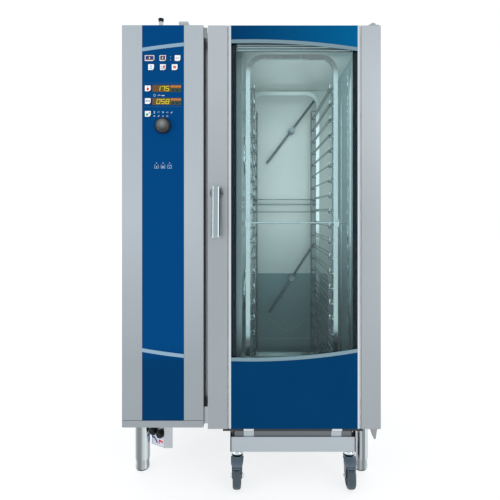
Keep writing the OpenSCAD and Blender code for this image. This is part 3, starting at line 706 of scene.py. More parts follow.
def panel_symbols():
    """White printed symbols: a clock and signs under the display, two short rows of signs, and three lamps."""
    r, step = 4.4, 38
    arc = [(r * math.cos(math.radians(a)), r * math.sin(math.radians(a)),
            r * math.cos(math.radians(a + step)), r * math.sin(math.radians(a + step)), 1.0)
           for a in range(20, 340, step)]
    small = shift(arc, -371, 1526)
    small += [(-358, 1524, -353.5, 1528.5, 1.8), (-353.5, 1528.5, -349, 1524, 1.8), (-344, 1525, -333, 1525, 3.0)]
    rows = {1459: (((-3, 5, 3, 5, 1.3), (0, -1, 0, 4, 2.2), (-3, -2, 3, -2, 1.3)),
                   ((-3, 4, 3, 4, 1.3), (-3, 4, -3, -1, 1.3), (3, 0, 3, -1, 1.3)),
                   ((-3, 4, 3, 4, 2.0), (-3, 0, 3, 0, 2.0), (0, -2, 0, 5, 1.2)),
                   ((-4, 2, 4, 2, 1.6), (-4, 0, -1, 3, 1.2)),
                   ((-3, -1, 1, 3, 1.8), (1, 3, 4, 3, 1.6), (-1, 1, -1, -3, 1.4))),
            1446: (((-3, 0, 3, 0, 2.6), (-1.5, 2.5, 1.5, 2.5, 1.4)), ((-3.5, -2.5, 3, 3, 2.2),),
                   ((-3, 1.5, 3, 1.5, 1.4), (-2, -2, 3, -2, 1.6)),
                   ((-3.5, 1.5, 3.5, 1.5, 1.3), (-3.5, -2, 3, -2, 1.3)))}
    for z, row in rows.items():
        for i, marks in enumerate(row):
            small += shift(marks, -372 + i * 16.5, z)
    small += [(-311, 1674, -309.5, 1674, 3), (-311, 1662, -309.5, 1662, 3)]
    flat_marks("panel_symbols", small, FACE_Y, "icon_white")
    trio = []
    half, low, high = 7.5, 1246, 1259
    for x, inside in ((-363.7, [(-2, -3, 2, 3, 1.6), (-2, -3, 2, -3, 1.0)]),
                      (-338.8, [(-4, -1, 4, -1, 3.4), (-2, 1, 3, 1, 2)]),
                      (-313.9, [(-4, 2, 6, 7, 1.4), (-1, -3, 3, -3, 1.2)])):
        left, right = x - half, x + half
        trio += [(left, low, right, low, 0.9), (left, low, left, high, 0.9), (right, low, right, high, 0.9),
                 (left, high, left + 4, high, 0.9), (right - 4, high, right, high, 0.9),
                 (x - 2, 1266, x + 2, 1266, 2.4)]
        trio += shift(inside, x, 1252)
    flat_marks("panel_lower_symbols", trio, FACE_Y, "icon_white")


# Marks round the middle of each key
WAVES = [mark for left in (-4.2, 0, 4.2) for mark in ((left, -5, left + 1.2, 0, 1.7), (left + 1.2, 0, left, 5, 1.7))]
KEY_SYMBOLS = (
    ("steam", "symbol", "icon_cyan", [(-2, 5, 2, 5, 3), (-3, 1, 4, 1, 3.2), (-6, -5, 6, -5, 3.4)]),
    ("combi", "steam_symbol", "icon_cyan", [(-5, -1, -5, 4, 4), (-8, -5, -1, -5, 3.2)]),
    ("combi", "heat_symbol", "icon_red", [(4, -6, 4, 6, 6), (2, 3, 8, 5, 3)]),
    ("hot_air", "symbol", "icon_red", WAVES + [(-6, 1.5, 6, 1.5, 3), (-6, -3.5, 6, -3.5, 3)]),
    ("temperature", "symbol", "icon_red", [(0, -3, 5), (0, -2, 0, 3, 2.6)]),
    ("temperature", "scale", "icon_navy", [(0, 3, 0, 9, 1.8)]),
    ("time", "symbol", "icon_navy", [(-8, 0, -3, 0, 4), (-1, 0, 2, 0, 5), (4, 0, 8, 0, 4)]),
    ("start", "symbol", "icon_green", [(-2.5, -2.5, 5.2)]),
    ("start", "mark", "icon_navy", [(3, 5, 8, 5, 2.6), (6, -2, 6, 3, 1.6)]),
    ("fan_speed", "symbol", "icon_navy", [(-6, 0, -3, 0, 4), (-1, 0, 2, 0, 3), (4, 0, 6, 0, 4)]),
)


def key_icons():
    """Small coloured symbols on the nine keys, and a dark band round each key on the panel face: painted shadow at its
    edge.
    """
    def put(key, tag, mat, marks, lift=0):
        lo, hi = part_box(key)
        middle = (lo.x + hi.x) / 2 / MM, (lo.z + hi.z) / 2 / MM
        flat_marks(f"{key}_{tag}", shift(marks, *middle), lo.y / MM - lift, mat, key)

    for key, tag, mat, marks in KEY_SYMBOLS:
        put(f"key_{key}", tag, mat, marks)
    for key in ("key_program", "key_humidity"):
        lo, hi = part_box(key)
        half = (hi.x - lo.x) / 2 / MM - 2.2
        tall = (hi.z - lo.z) / MM - 4.6
        put(key, "field", "icon_brown", [(-half, 0.4, half, 0.4, tall)])
        put(key, "symbol", "icon_navy", [(2 - half, 1, -3, 1, tall * 0.6), (3, 1, half - 2, 1, tall * 0.6)], PRINT_T)
        put(key, "middle", "key_white", [(-1.6, 0, 1.6, 0, 5)], PRINT_T)
    # Dark band round each key on the panel face: painted shadow
    wide = 0.9
    for name in NODES:
        if name.startswith("key_"):
            lo, hi = span(name)
            a, b, c, d = lo[0] - wide, lo[2] - wide, hi[0] + wide, hi[2] + wide
            marks = [(a - 0.4, b, c + 0.4, b, wide), (a - 0.4, d, c + 0.4, d, wide), (a, b, a, d, wide),
                     (c, b, c, d, wide)]
            flat_marks(f"{name}_edge_shadow", marks, FACE_Y, "enamel_black")


def knob():
    """Domed selector knob with shallow finger flutes round its skirt and a dished centre."""
    lo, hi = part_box("selector_knob")
    centre = ((lo.x + hi.x) / 2 / MM, FACE_Y - 0.5, (lo.z + hi.z) / 2 / MM)
    r = (hi.x - lo.x) / 2 / MM
    depth = 25
    flutes = 8

    def flute(angle, radius, height):
        fade = max(0.0, min(1.0, (radius / r - 0.72) * 5)) * max(0.0, 1 - height / (depth * 1.1))
        return 1 - 0.022 * fade * (0.5 + 0.5 * math.cos(angle * flutes))

    profile = [(0, 0), (r - 1.5, 0), (r - 0.2, 1.4), (r - 0.1, 4)]
    for i in range(1, 11):
        turn = math.radians(9 * i)
        profile.append((r * (0.2 + 0.8 * math.cos(turn)) - 0.3, 4 + (depth - 5) * math.sin(turn)))
    profile += [(r * 0.1, depth - 1.6), (0, depth - 1.9)]
    bm = bmesh.new()
    lathe(bm, profile, centre, FRONT, 120, flute)
    lathe(bm, [(0, -14), (5, -14), (5, 0.5), (0, 0.5)], centre, FRONT, 32)
    finish_piece(bm, "knob_body", "knob_black", "selector_knob", "black_plastic", smooth=True,
                 replaces=("selector_knob",))


# ---- Door ----

def door_details():
    x0, x1 = PANE_LO.x / MM, PANE_HI.x / MM
    z0, z1 = PANE_LO.z / MM, PANE_HI.z / MM
    back = PANE_HI.y / MM
    for side, (a, b) in (("left", (x0, x0 + 19.5)), ("right", (x1 - 17, x1))):
        bm = bmesh.new()
        box(bm, (a, b), (back + 0.1, back + 1.1), (z0, z1))
        finish_piece(bm, f"glass_edge_{side}", "enamel_black", "door", "black_plastic")


def groove_seals():
    """Dark seals at the bottom of the two grooves beside the stiles: painted shade in the grooves."""
    lo, hi = DOOR_LO.z / MM, DOOR_HI.z / MM
    for side, x0 in (("left", DOOR_LO.x / MM + STILE_W), ("right", DOOR_HI.x / MM - STILE_W - GROOVE_W)):
        make(f"groove_shade_seal_{side}", "seal_grey", "door", "rubber",
             lambda bm, x=x0 + GROOVE_W / 2: rod(bm, [(x, FACE_Y + 4.5, lo + 1), (x, FACE_Y + 4.5, hi - 1)],
                                                 GROOVE_W / 2 - 0.3), smooth=True)


def stile_strips():
    """Bright strip between each groove and the glass."""
    lo, hi = mm(DOOR_LO), mm(DOOR_HI)
    inset = STILE_W + GROOVE_W
    for side, x in (("left", lo[0] + inset), ("right", hi[0] - inset - STRIP_W)):
        make(f"stile_strip_{side}", "steel_bright", "door", "steel",
             lambda bm: sheet(bm, rounded((x + 0.4, x + STRIP_W - 0.4), (lo[2] + 2, hi[2] - 2), 0.6, 3),
                                   lo[1] - 0.3, lo[1] + 0.4), bevel=0.2)


def column_gap():
    """Black strip in the seam above the base rail of the column: painted shadow in the gap."""
    lo, hi = span("column_fascia")
    seam_z = PANEL_LO.z / MM
    make("seam_shadow_strip", "enamel_black", "cabinet", "rubber",
         lambda bm: sheet(bm, rounded((lo[0] + 1, hi[0] - 1), (seam_z - 1.45, seam_z - 0.05), 0.3, 3), FACE_Y + 0.3,
                          FACE_Y + 1.7))


def gap_strips():
    """Folded strips that close the top and the foot of the gap beside the door."""
    left, right = mm(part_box("column_fascia")[1])[0] + 0.3, DOOR_LO.x / MM - 2.5
    top, foot = ROOF_Z / MM - 6, PANEL_LO.z / MM
    y = FACE_Y + 8
    # The top strip is in the darker mill steel: painted shade at the top of the gap
    make("gap_strip_top", "steel_mill", "cabinet", "steel",
         lambda bm: sheet(bm, rounded((left, right), (top - 40, top), 2, 3), y, y + 1.2), bevel=0.3)
    y += 12
    make("gap_strip_foot", "steel_casing", "cabinet", "steel",
         lambda bm: sheet(bm, rounded((left, right), (foot - 22, foot + 44), 2, 3), y, y + 1.2), bevel=0.3)


def handle():
    """Tapered crowned lever on a round boss, with its shaft through the door and the latch behind."""
    x, z = HANDLE_X, HANDLE_Z
    front, back = HANDLE_LO.y / MM, HANDLE_HI.y / MM
    top, bottom = HANDLE_HI.z / MM, HANDLE_LO.z / MM
    crown = 22
    rows = 36

    def lever(bm):
        rings = []
        for i in range(rows + 1):
            t = i / rows
            level = bottom + (top - bottom) * t
            near_end = min(t, 1 - t) * rows
            pull = 1 - 0.10 * max(0, 1 - near_end / 1.6) ** 2
            half = (17.6 + 1.4 * (1 - t) ** 2) * 0.93 * pull
            deep = 26 * (0.72 + 0.28 * t)
            ring = []
            steps = 20
            for k in range(steps + 1):
                u = -1 + 2 * k / steps
                px = u * half
                drop = crown - math.sqrt(max(0, crown ** 2 - (px * 0.98) ** 2))
                ring.append(bm.verts.new((x + px - 0.9 * (1 - t), front + 0.3 + drop + (1 - pull) * 20, level)))
            for k in range(steps + 1):
                u = 1 - 2 * k / steps
                px = u * half * 0.96
                hollow = deep * (1 - 0.12 * (1 - u * u))
                ring.append(bm.verts.new((x + px - 0.9 * (1 - t), front + hollow + 3, level)))
            rings.append(ring)
        count = len(rings[0])
        for a, b in zip(rings, rings[1:]):
            for k in range(count):
                n = (k + 1) % count
                bm.faces.new((a[k], a[n], b[n], b[k]))
        bm.faces.new(rings[0])
        bm.faces.new(rings[-1][::-1])

    make("handle_lever", "lever", "handle", "polished_steel", lever, smooth=True, replaces=("door_handle",))
    # The rose and the boss use the darker boss steel: painted shade round the handle
    make("handle_rose", "boss", "door", "polished_steel",
         lambda bm: lathe(bm, [(17.6, 0.1), (25.6, 0.1), (26, 0.8), (25.2, 1.5), (17.6, 1.5)], (x - 2.5, FACE_Y, z),
                          FRONT, 72),
         smooth=True)
    make("handle_boss", "boss", "handle", "polished_steel",
         lambda bm: lathe(bm, [(0, 1.8), (22.4, 1.8), (22.8, 2.8), (22.0, 4.2), (19.0, 6.0), (16.6, 9), (16.2, 24),
                               (0, 24)],
                          (x, FACE_Y, z), FRONT, 64), smooth=True)

    def latch(bm):
        lathe(bm, [(0, 0), (8, 0), (8, back - FACE_Y - 5), (0, back - FACE_Y - 5)], (x, FACE_Y, z), BACK, 32)
        sheet(bm, rounded((x - 11.5, x + 11.5), (z - 33, z + 11.5), 6), back - 4.4, back - 0.1)
        lathe(bm, [(0, back - FACE_Y - 4.6), (10, back - FACE_Y - 4.6), (10, back - FACE_Y - 0.2),
                   (0, back - FACE_Y - 0.2)], (x, FACE_Y, z), BACK, 6)

    make("handle_latch", "steel_bright", "handle", "polished_steel", latch)


def door_frame_details():
    """Ledge and seal lines along the top of the window, between the two panes."""
    x0, x1 = PANE_LO.x / MM, PANE_HI.x / MM
    top = PANE_HI.z / MM
    y = (PANE_HI.y / MM, INNER_LO.y / MM)
    make("pane_ledge", "flange_sheet", "door", "steel",
         lambda bm: [box(bm, (x0 + 19, x1 - 17), (y[0] + 8, y[0] + 9.2), (top - 58, top - 6)),
                     box(bm, (x0 + 19, x1 - 17), (y[0] + 9.4, y[0] + 19), (top - 58, top - 56.6))], bevel=0.5)

    def lines(bm):
        for drop, thick in ((36, 1.2), (44, 2.0), (56, 1.6)):
            rod(bm, [(x0 + 24, y[0] + 5, top - drop), (x1 - 24, y[0] + 5, top - drop)], thick, 8)

    make("pane_seal_lines", "rod", "door", "polished_steel", lines, smooth=True)


# ---- Cavity ----

def cavity():
    """Satin back sheet under a darker satin one with round shoulders, which paints the shadow on the lower back wall;
    pressed beads and a drain cover.
    """
    x0, x1 = LINER_LO.x / MM + 4, LINER_HI.x / MM - 4
    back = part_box("wash_arm_spindles")[1].y / MM
    z0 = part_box("drip_pan")[0].z / MM - 6
    z1 = LINER_HI.z / MM - 4
    # Top of the painted shadow on the back wall
    shoulder = 734
    make("back_sheet", "back_satin", "cabinet", "liner_steel",
         lambda bm: sheet(bm, rounded((x0, x1), (z0, z1), 30), back - 1.2, back - 0.3), bevel=0.4)
    # Darker sheet over the lower back wall: painted shadow
    make("back_shadow_sheet", "splash", "cabinet", "liner_steel",
         lambda bm: sheet(bm, rounded((x0 + 118, x1 - 24), (z0 + 2, shoulder), 26, corners=(0, 0, 1, 1)), back - 2.6,
                          back - 1.3),
         bevel=0.5)

    def beads(bm):
        front = back - 2.9
        left, right = x0 + 150, x1 - 60
        rod(bm, [(left, front, 368), (right, front, 366)], 2.6, 8, 0.5)
        wave = []
        for i in range(41):
            t = i / 40
            dip = math.exp(-((t - 0.5) / 0.2) ** 2)
            wave.append((left + (right - left) * t, front, 484 - 72 * dip + 4 * math.sin(9 * t)))
        rod(bm, wave, 2.6, 8, 0.5)
        low = [(left + (right - left) * i / 20, front, 604 + 10 * math.sin(i / 20 * math.pi)) for i in range(21)]
        rod(bm, low, 1.6, 8, 0.5)

    make("back_wall_beads", "bead", "cabinet", "liner_steel", beads, smooth=True)
    # The ceiling sheet is painted lighter than the back sheet: painted light
    ceiling = z1 + 1.4
    make("ceiling_sheet", "ceiling", "cabinet", "liner_steel",
         lambda bm: box(bm, (x0, x1), (LINER_LO.y / MM + 3, back - 3), (ceiling - 1.2, ceiling)), bevel=0.5)
    wall = (LINER_HI.x / MM - 3.6, LINER_HI.x / MM - 2.6)
    make("side_wall_sheet", "side_sheet", "cabinet", "liner_steel",
         lambda bm: box(bm, wall, (LINER_LO.y / MM + 3, back - 3), (z0 + 4, ceiling - 2)), bevel=0.4)

    def side_ribs(bm):
        for y, r in ((-152, 2.4), (-128, 1.6), (60, 3.0), (250, 3.0)):
            rod(bm, [(wall[0] - 0.4, y, z0 + 30), (wall[0] - 0.4, y, ceiling - 30)], r, 10)
        for i in range(44):
            z = z0 + 60 + i * 31
            lean = 5 * math.sin(i * 2.4)
            rod(bm, [(wall[0] - 0.6, -106 + lean, z), (wall[0] - 3.4, -104, z + 9),
                     (wall[0] - 0.6, -108 - lean, z + 19)], 2.0, 8)

    make("side_wall_ribs", "tube", "cabinet", "liner_steel", side_ribs, smooth=True)
    floor = LINER_LO.z / MM + 2

    def drain(bm):
        lathe(bm, [(0, 0.2), (48, 0.2), (50, 1.6), (47, 3.0), (0, 2.2)], (DRAIN_X, DRAIN_Y, floor), UP, 48)
        for i in range(7):
            x = DRAIN_X - 30 + 10 * i
            half = math.sqrt(42 ** 2 - (x - DRAIN_X) ** 2) * 0.8
            box(bm, (x - 1.6, x + 1.6), (DRAIN_Y - half, DRAIN_Y + half), (floor + 3, floor + 4))

    make("drain_cover", "steel_bright", "cabinet", "liner_steel", drain)


def baffle_details():
    """Intake guards of concentric wire, and the flange that closes the front of the fan chamber."""
    lo, hi = span("fan_baffle")
    x = hi[0]
    wall = LINER_LO.x / MM + 4
    make("baffle_flange", "flange_sheet", "cabinet", "liner_steel",
         lambda bm: sheet(bm, rounded((wall, x - 0.4), (lo[2], hi[2]), 10, corners=(0, 1, 1, 0)), lo[1] - 2.4,
                          lo[1] - 0.8),
         bevel=0.5)

    def arcs(bm):
        for z, r in ((1360, 290), (760, 300)):
            bow = []
            for i in range(25):
                angle = math.radians(-62 + 124 * i / 24)
                bow.append((wall + 8 + r * 0.17 * math.cos(angle), lo[1] - 2.8, z + r * math.sin(angle)))
            rod(bm, bow, 2.6, 10, 0.6)

    make("baffle_flange_beads", "tube", "cabinet", "liner_steel", arcs, smooth=True)
    for label, node in (("upper", "fan_wheel_upper"), ("lower", "fan_wheel_lower")):
        a, b = span(node)
        z = (a[2] + b[2]) / 2

        def guard(bm):
            for r in (22, 40, 58, 76, 92):
                ring = [(x + 2, r * math.cos(math.tau * i / 48),
                         z + r * math.sin(math.tau * i / 48)) for i in range(49)]
                rod(bm, ring, 1.5, 8)
            for i in range(6):
                angle = math.radians(60 * i + 30)
                rod(bm, [(x + 4.4, 8 * math.cos(angle), z + 8 * math.sin(angle)),
                         (x + 4.4, 96 * math.cos(angle), z + 96 * math.sin(angle))], 1.6, 8)

        make(f"intake_guard_{label}", "rod", "cabinet", "liner_steel", guard, smooth=True)
    levels = (lo[2] + 26, (lo[2] + hi[2]) / 2, hi[2] - 26)
    make("baffle_screws", "steel_bright", "cabinet", "liner_steel",
         lambda bm: screws(bm, [(x, y, z) for y in (lo[1] + 26, hi[1] - 26) for z in levels], (1, 0, 0), 6, 3))


# ---- Casters and feet ----

def casters():
    for side in ("left", "right"):
        fork, wheel = f"caster_fork_{side}", f"caster_wheel_{side}"
        lo, hi = span(wheel)
        x, y, r = (lo[0] + hi[0]) / 2, (lo[1] + hi[1]) / 2, (hi[2] - lo[2]) / 2
        half = (hi[0] - lo[0]) / 2
        head_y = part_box("caster_mounts")[0].y / MM + 24

        def tyre(bm):
            profile = [(7, -half + 4), (14, -half + 4), (15, -half + 1), (19, -half + 0.5), (21, -half + 5),
                       (r - 14, -half + 5), (r - 12, -half + 0.8), (r - 6, -half + 0.2),
                       (r - 2.2, -half + 2.4), (r - 0.4, -half + 7), (r, 0)]
            mirror = [(a, -b) for a, b in reversed(profile[:-1])]
            lathe(bm, profile + mirror, (x, y, r), (1, 0, 0), 72)

        make(f"tyre_{side}", "tyre", f"wheel_{side}", "caster_grey", tyre, smooth=True, replaces=(wheel,))

        def cheeks(bm):
            inside = half + 1.5
            for s in (-1, 1):
                a, b = sorted((x + s * inside, x + s * (inside + 3)))
                outline = [(head_y + 17, 113), (head_y - 19, 113), (y - 16, r + 40), (y - 12, r + 6),
                           (y - 9, r - 9), (y, r - 12.5), (y + 9, r - 9), (y + 13, r + 8), (head_y + 6, r + 46)]
                prism(bm, [(a, py, pz) for py, pz in outline], [(b, py, pz) for py, pz in outline])
            lathe(bm, [(8, 0), (21.5, 0), (22, 3), (22, 10), (20, 12), (8, 12)], (x, head_y, 101), UP, 48)

        make(f"fork_{side}", "caster", f"fork_{side}", "caster_grey", cheeks, bevel=1.0, replaces=(fork,))

        def brake(bm):
            """Shield-shaped brake pedal that arches over the front of the wheel."""
            rows, top, fall, reach, arch, sheet_t = 14, 115, 25, 33, 11, 3
            grid = []
            for i in range(rows + 1):
                t = i / rows
                z = top - fall * t
                depth = head_y - 21 - reach * math.sin(t * math.pi * 0.5)
                wide = 25 - 2 * t - 6.5 * t ** 4
                row = []
                for k in range(13):
                    u = -1 + k / 6
                    row.append((x + wide * u, depth + arch * abs(u) ** 2.4, z))
                grid.append(row)
            for behind in (0, sheet_t):
                layer = [[bm.verts.new((px, py + behind, pz)) for px, py, pz in row] for row in grid]
                for a, b in zip(layer, layer[1:]):
                    for k in range(12):
                        bm.faces.new((a[k], a[k + 1], b[k + 1], b[k]))
                if behind == 0:
                    first = layer
            a, b = ([*g[0]] + [row[12] for row in g[1:]] + g[-1][11::-1] + [g[i][0] for i in range(rows - 1, 0, -1)]
                    for g in (first, layer))
            for k in range(len(a)):
                n = (k + 1) % len(a)
                bm.faces.new((a[k], a[n], b[n], b[k]))
            box(bm, (x - 15, x + 15), (head_y - 60, head_y - 50), (91.5, 94.5))

        make(f"brake_pedal_{side}", "caster", f"fork_{side}", "caster_grey", brake, smooth=True)

        def bolt(bm):
            reach = half + 4.5
            for s in (-1, 1):
                lathe(bm, [(0, 0.2), (9.5, 0.2), (9.5, 1.6), (0, 1.6)], (x + s * reach, y, r), (s, 0, 0), 32)
                lathe(bm, [(0, 1.4), (7.4, 1.4), (7.6, 5.8), (6.4, 7.2), (0, 7.4)], (x + s * reach, y, r), (s, 0, 0), 6)
            lathe(bm, [(0, -reach), (6, -reach), (6, reach), (0, reach)], (x, y, r), (1, 0, 0), 24)

        make(f"axle_bolt_{side}", "dome", f"fork_{side}", "polished_steel", bolt)

        def head(bm):
            lathe(bm, [(0, 0.2), (18, 0.2), (18, 8), (20.5, 10), (23.4, 14), (24.2, 18), (23.6, 22), (21.4, 25),
                       (19, 26.4), (8, 26.6), (8, 34), (0, 34)], (x, head_y, BEAM_Z[0]), (0, 0, -1), 64)

        make(f"swivel_head_{side}", "dome", "trolley", "polished_steel", head, smooth=True)
        make(f"swivel_cup_{side}", "dome", f"fork_{side}", "polished_steel",
             lambda bm: lathe(bm, [(9, 0), (19, 0), (22.4, 1.8), (22.8, 3.4), (21, 4.6), (9, 4.6)],
                              (x, head_y, 113.4), UP, 64), smooth=True)
        make(f"swivel_ring_{side}", "black", f"fork_{side}", "rubber",
             lambda bm: lathe(bm, [(9, 0), (21.4, 0), (22.8, 1.2), (21.4, 2.4), (9, 2.4)], (x, head_y, 118.2), UP, 48),
             smooth=True)


def beam_details():
    """Rubber buffers on the ends of the trolley beam, a guard strip behind it, a face on the skirt under the door, and
    clips on the drip tray at the brackets.
    """
    lo, hi = span("trolley_base")
    z = BEAM_Z

    def buffers(bm):
        for a, b in ((lo[0] - 4.4, lo[0] - 0.4), (hi[0] + 0.4, hi[0] + 4.4)):
            sheet(bm, rounded((a, b), (z[0] - 1, z[1] + 20), 1.2, 4), lo[1] + 1, lo[1] + 34)

    make("beam_buffers", "black", "trolley", "rubber", buffers, smooth=True)
    guard_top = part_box("door_drip_tray")[0].z / MM - 9
    make("beam_guard", "steel_dim", "trolley", "frame_steel",
         lambda bm: [box(bm, (lo[0] + 12, hi[0] - 12), (lo[1] + 5, lo[1] + 6.5), (z[1] - 2, guard_top)),
                     rod(bm, [(lo[0] + 12, lo[1] + 5.2, guard_top), (hi[0] - 12, lo[1] + 5.2, guard_top)], 1.3,
                         8)], bevel=0.3)
    frame_lo = mm(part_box("front_frame")[0])
    skirt_y = -336.8
    # A lighter steel face on the skirt under the door: painted light, lifting the shade there
    make("sill_skirt_face", "steel_bright", "cabinet", "frame_steel",
         lambda bm: box(bm, (-148, 438), (skirt_y - 0.8, skirt_y), (frame_lo[2] + 1, 250)), bevel=0.4)
    tray_lo, tray_hi = span("door_drip_tray")

    def clips(bm):
        for x in BRACKET_X:
            box(bm, (x - BRACKET_HALF, x + BRACKET_HALF), (tray_lo[1] - 1.2, tray_lo[1] - 0.2),
                (tray_lo[2] + 0.4, tray_hi[2] - 0.6))

    make("sweep_clips", "steel_bright", "door", "steel", clips, bevel=0.4)


def feet():
    """Collared foot glides with a ridged grip and a dark sole."""
    lo, hi = span("foot_tubes")
    r = 31.5
    spots = [(x, y) for x in (lo[0] + r, hi[0] - r) for y in (lo[1] + r, hi[1] - r)]
    top = lo[2] - 0.2

    def ridged(angle, radius, height):
        return 1 - 0.018 * (0.5 + 0.5 * math.cos(angle * 24)) * (6 < height < 22)

    def glide(bm):
        for x, y in spots:
            lathe(bm, [(0, 3), (23, 3), (25.5, 4.2), (29, 7), (30, 12), (30, 18), (29, 24), (28, 34), (29.4, 40),
                       (29.4, top), (0, top)],
                  (x, y, 0), UP, 72, ridged)

    def sole(bm):
        for x, y in spots:
            lathe(bm, [(0, 0.0), (23.5, 0.0), (25.5, 1.4), (25.5, 2.8), (0, 2.9)], (x, y, 0), UP, 64)

    make("foot_grips", "steel_foot", "cabinet", "grey_plastic", glide, smooth=True, replaces=("foot_glides",))
    make("foot_soles", "rubber", "cabinet", "rubber", sole, smooth=True)


# ---- Roof, water box and hinges ----

def roof_details():
    lo, hi = span("vent_cap")
    x, y, r = (lo[0] + hi[0]) / 2, (lo[1] + hi[1]) / 2, (hi[0] - lo[0]) / 2

    def ribbed(angle, radius, height):
        return 1 - 0.05 * (0.5 + 0.5 * math.cos(angle * 16)) * (height > 2)

    make("vent_cap_ribbed", "black", "cabinet", "black_plastic",
         lambda bm: lathe(bm, [(0, 0), (r - 2, 0), (r - 1.8, 1.5), (r - 0.6, 8), (r, 13),
                               (r - 0.6, hi[2] - lo[2] - 0.6), (r - 3, hi[2] - lo[2]), (0, hi[2] - lo[2] - 1.2)],
                          (x, y, lo[2]), UP, 96, ribbed), smooth=True, replaces=("vent_cap",))
    roof = ROOF_Z / MM
    make("vent_flange", "steel_bright", "cabinet", "steel",
         lambda bm: [lathe(bm, [(8.6, 0.1), (20, 0.1), (20, 1.6), (11, 2.4), (9.2, 6), (8.6, 6)], (x, y, roof), UP, 48),
                     screws(bm, [(x + 15 * a, y + 15 * b, roof + 1.4) for a, b in ((1, 0), (-1, 0), (0, 1), (0, -1))],
                            UP, 2.6, 1.6)])
    cover_hi = mm(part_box("roof_vents")[1])
    cover_w, cover_h = 36, 50
    left, right, top = cover_hi[0] - cover_w, cover_hi[0], roof + cover_h
    make("roof_cover_lid", "steel_roof", "cabinet", "steel",
         lambda bm: sheet(bm, rounded((left - 1.5, right + 1.5), (top - 9, top + 1.2), 2), y - 20, y + 24), bevel=0.8)

    def seams(bm):
        a, b = span("top_panel")
        places = [(px, py, roof) for px in (a[0] + 14, -200, -170, 150, b[0] - 14) for py in (a[1] + 80, 0, b[1] - 16)]
        screws(bm, places, UP, 4.5, 2)

    make("roof_screws", "steel_bright", "cabinet", "steel", seams)


def water_box_details():
    """Label with plain blue and red marks on the slanting face, and ring nuts on the two inlets."""
    corner, left = Vector((-362, -303, 0)), Vector((-422, -268, 0))
    along = (left - corner).normalized()
    out = Vector((along.y, -along.x, 0))
    if out.y > 0:
        out = -out
    length = (left - corner).length

    def patch(bm, marks, lift):
        for u0, v0, u1, v1, u2, v2, u3, v3 in marks:
            ring = [(u0, v0), (u1, v1), (u2, v2), (u3, v3)]
            prism(bm, *[[corner + along * u + out * depth + Vector((0, 0, v)) for u, v in ring]
                        for depth in (lift, lift - LABEL_T)])

    make("inlet_label", "label", "cabinet", "steel",
         lambda bm: patch(bm, [(1.5, 108, length - 2, 108, length - 2, 148, 1.5, 148)], 0.4))
    make("label_blue_marks", "icon_navy", "cabinet", "steel",
         lambda bm: patch(bm, [(48, 128, 67, 134, 67, 142, 50, 137), (34, 117, 42, 116, 52, 130, 45, 133)], 0.7))
    make("label_red_marks", "icon_red", "cabinet", "steel",
         lambda bm: patch(bm, [(24, 116, 30, 116, 30, 132, 24, 132), (6, 122, 24, 126, 24, 133, 8, 130)], 0.7))

    def nuts(bm):
        for t, z in INLETS:
            centre = corner + along * (length * t) + Vector((0, 0, z))
            grip = lambda angle, radius, height: 1 - 0.06 * (0.5 + 0.5 * math.cos(angle * 10)) * (radius > 14.5)
            lathe(bm, [(8.5, 1), (16.2, 1), (17, 2.5), (17, 12), (16, 14), (13.6, 14.5), (13.2, 17.6), (8.5, 17.9)],
                  centre, out, 80, grip)

    make("inlet_nuts", "black", "cabinet", "black_plastic", nuts, smooth=True)

    def bores(bm):
        for t, z in INLETS:
            centre = corner + along * (length * t) + Vector((0, 0, z))
            lathe(bm, [(0, 18.05), (8.4, 18.05), (8.0, 18.5), (5.2, 18.5), (4.4, 18.1), (0, 18.1)], centre, out, 40)

    make("inlet_nozzles", "black", "cabinet", "steel", bores, smooth=True)


def hinge_details():
    x, y = HINGE_X, HINGE_Y
    roof = ROOF_Z / MM
    make("hinge_cap", "dome", "cabinet", "frame_steel",
         lambda bm: lathe(bm, [(0, 0), (12.5, 0), (12.5, 1.5), (10.6, 1.8), (10.6, 9), (9, 10.4), (0, 10.6)],
                          (x, y, roof + 6), UP, 6))
    make("hinge_screws", "steel_bright", "cabinet", "frame_steel",
         lambda bm: screws(bm, [(x + dx, py, roof + 6) for py in (-330, -365) for dx in (-12, 12)], UP, 5, 3))


# ---- Casing ----

def louvres(bm, x, z, y, count, pitch, out):
    """A block of pressed louvres on a back face: each is a slanting hood over its slot."""
    for i in range(count):
        base = z + i * pitch
        lip = y + out * 5
        ring = [(y, base), (lip, base + 1.5), (lip, base + 3), (y, base + 9)]
        prism(bm, [(x[0], py, pz) for py, pz in ring], [(x[1], py, pz) for py, pz in ring])


def casing_details():
    lo, hi = span("back_panel")
    y = hi[1]
    make("back_louvres", "steel_casing", "cabinet", "steel",
         lambda bm: [louvres(bm, (-440, -360), 560, y, 12, 22, 1), louvres(bm, (-330, -250), 560, y, 12, 22, 1),
                     louvres(bm, (-440, -250), 1480, y, 8, 22, 1)], bevel=0.5)
    columns, rows = (lo[0] + 16, -190, -160, hi[0] - 16), (290, 640, 1000, 1360, 1740)
    make("back_screws", "steel_bright", "cabinet", "steel",
         lambda bm: screws(bm, [(px, y, pz) for px in columns for pz in rows], BACK, 5, 2.6))

    def seam(bm):
        box(bm, (-176.5, -173.5), (y + 0.05, y + 1.2), (lo[2] + 4, hi[2] - 4))
        box(bm, (lo[0] + 6, hi[0] - 6), (y + 0.05, y + 1.2), (985, 988))

    make("back_seams", "steel_mill", "cabinet", "steel", seam, bevel=0.4)
    for side, node, out in (("left", "left_side_panel", -1), ("right", "right_side_panel", 1)):
        a, b = span(node)
        face = a[0] if out < 0 else b[0]
        spots = [(face - out * 2.2, py, pz) for py in (a[1] + 24, b[1] - 24) for pz in (285, 650, 1020, 1390, 1760)]
        make(f"side_screws_{side}", "steel_bright", "cabinet", "steel",
             lambda bm: screws(bm, spots, (out, 0, 0), 5, 2.1))


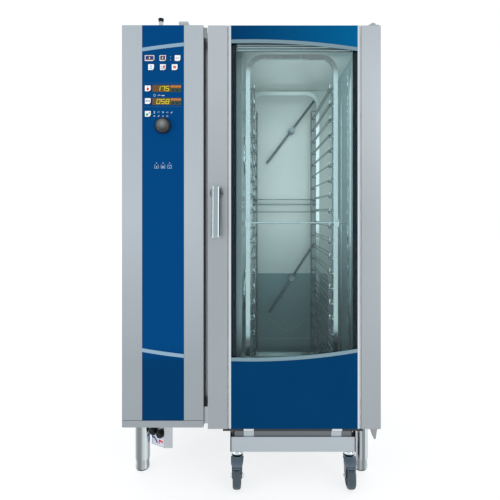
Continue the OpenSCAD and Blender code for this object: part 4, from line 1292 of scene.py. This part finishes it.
def rack_details():
    """Collars where rods meet the posts with the upturned ends of the runners, hooks at the top of the stop rods, and a
    sleeve and clamps on the retaining rod.
    """
    lo, hi = span("rack_frames")
    posts = (lo[0] + 9, hi[0] - 9)
    front, rear = lo[1] + 9, hi[1] - 9
    stops = (16, 313)
    rear_face = hi[1]

    def hooks(bm):
        for x, s in zip(stops, (-1, 1)):
            y = rear_face + 5.2
            top = 1620
            rod(bm, [(x, y, top - 4), (x, y, top + 4), (x + s * 4, y, top + 9), (x + s * 24, y, top + 9)], 4, 12)
            box(bm, tuple(sorted((x + s * 20, x + s * 38))), (y - 4.5, y + 4.5), (top - 2, top + 14))

    make("stop_rod_hooks", "steel_mill", "trolley", "polished_steel", hooks, smooth=True)

    def collars(bm):
        for i in range(20):
            z = 1580 - 63 * i
            for x, s in zip(posts, (1, -1)):
                for y in (front, rear):
                    lathe(bm, [(0, 0), (6.4, 0), (6.8, 1.2), (5.4, 3.2), (0, 3.4)], (x + s * 9.2, y, z), (s, 0, 0), 16)
                # Upturned end that keeps a tray from sliding out
                inner = x + s * 25.7
                rod(bm, [(inner, front - 9, z + 7.2), (inner, front - 13, z + 9), (inner, front - 14.5, z + 14),
                         (inner - s * 2, front - 14.5, z + 22)],
                    3.4, 10)

    rod_z, front_face = 1034, lo[1]
    # A lighter sleeve over the dark retaining rod: painted highlight along it
    make("retaining_rod_sheen_sleeve", "tube", "trolley", "polished_steel",
         lambda bm: rod(bm, [(posts[0] - 8, front_face - 4.3, rod_z), (posts[1] + 42, front_face - 4.3, rod_z)], 3.6,
                        16), smooth=True)

    def clamps(bm):
        for x in posts:
            sheet(bm, rounded((x - 11.6, x + 11.6), (rod_z - 16.6, rod_z + 16.6), 4), front_face - 17, front_face - 8)
            lathe(bm, [(0, 0), (5.5, 0), (5.5, 3), (4, 4.2), (0, 4.4)], (x, front_face - 17, rod_z + 9), FRONT, 20)

    make("retaining_rod_clamps", "tube", "trolley", "polished_steel", clamps, bevel=0.8)
    make("runner_ends", "rod", "trolley", "polished_steel", collars, smooth=True)


def main():
    make_camera()
    make_studio()
    dress_nodes()
    control_panel()
    key_icons()
    knob()
    door_details()
    groove_seals()
    stile_strips()
    column_gap()
    gap_strips()
    handle()
    door_frame_details()
    cavity()
    baffle_details()
    casters()
    beam_details()
    feet()
    roof_details()
    water_box_details()
    hinge_details()
    casing_details()
    rack_details()


main()
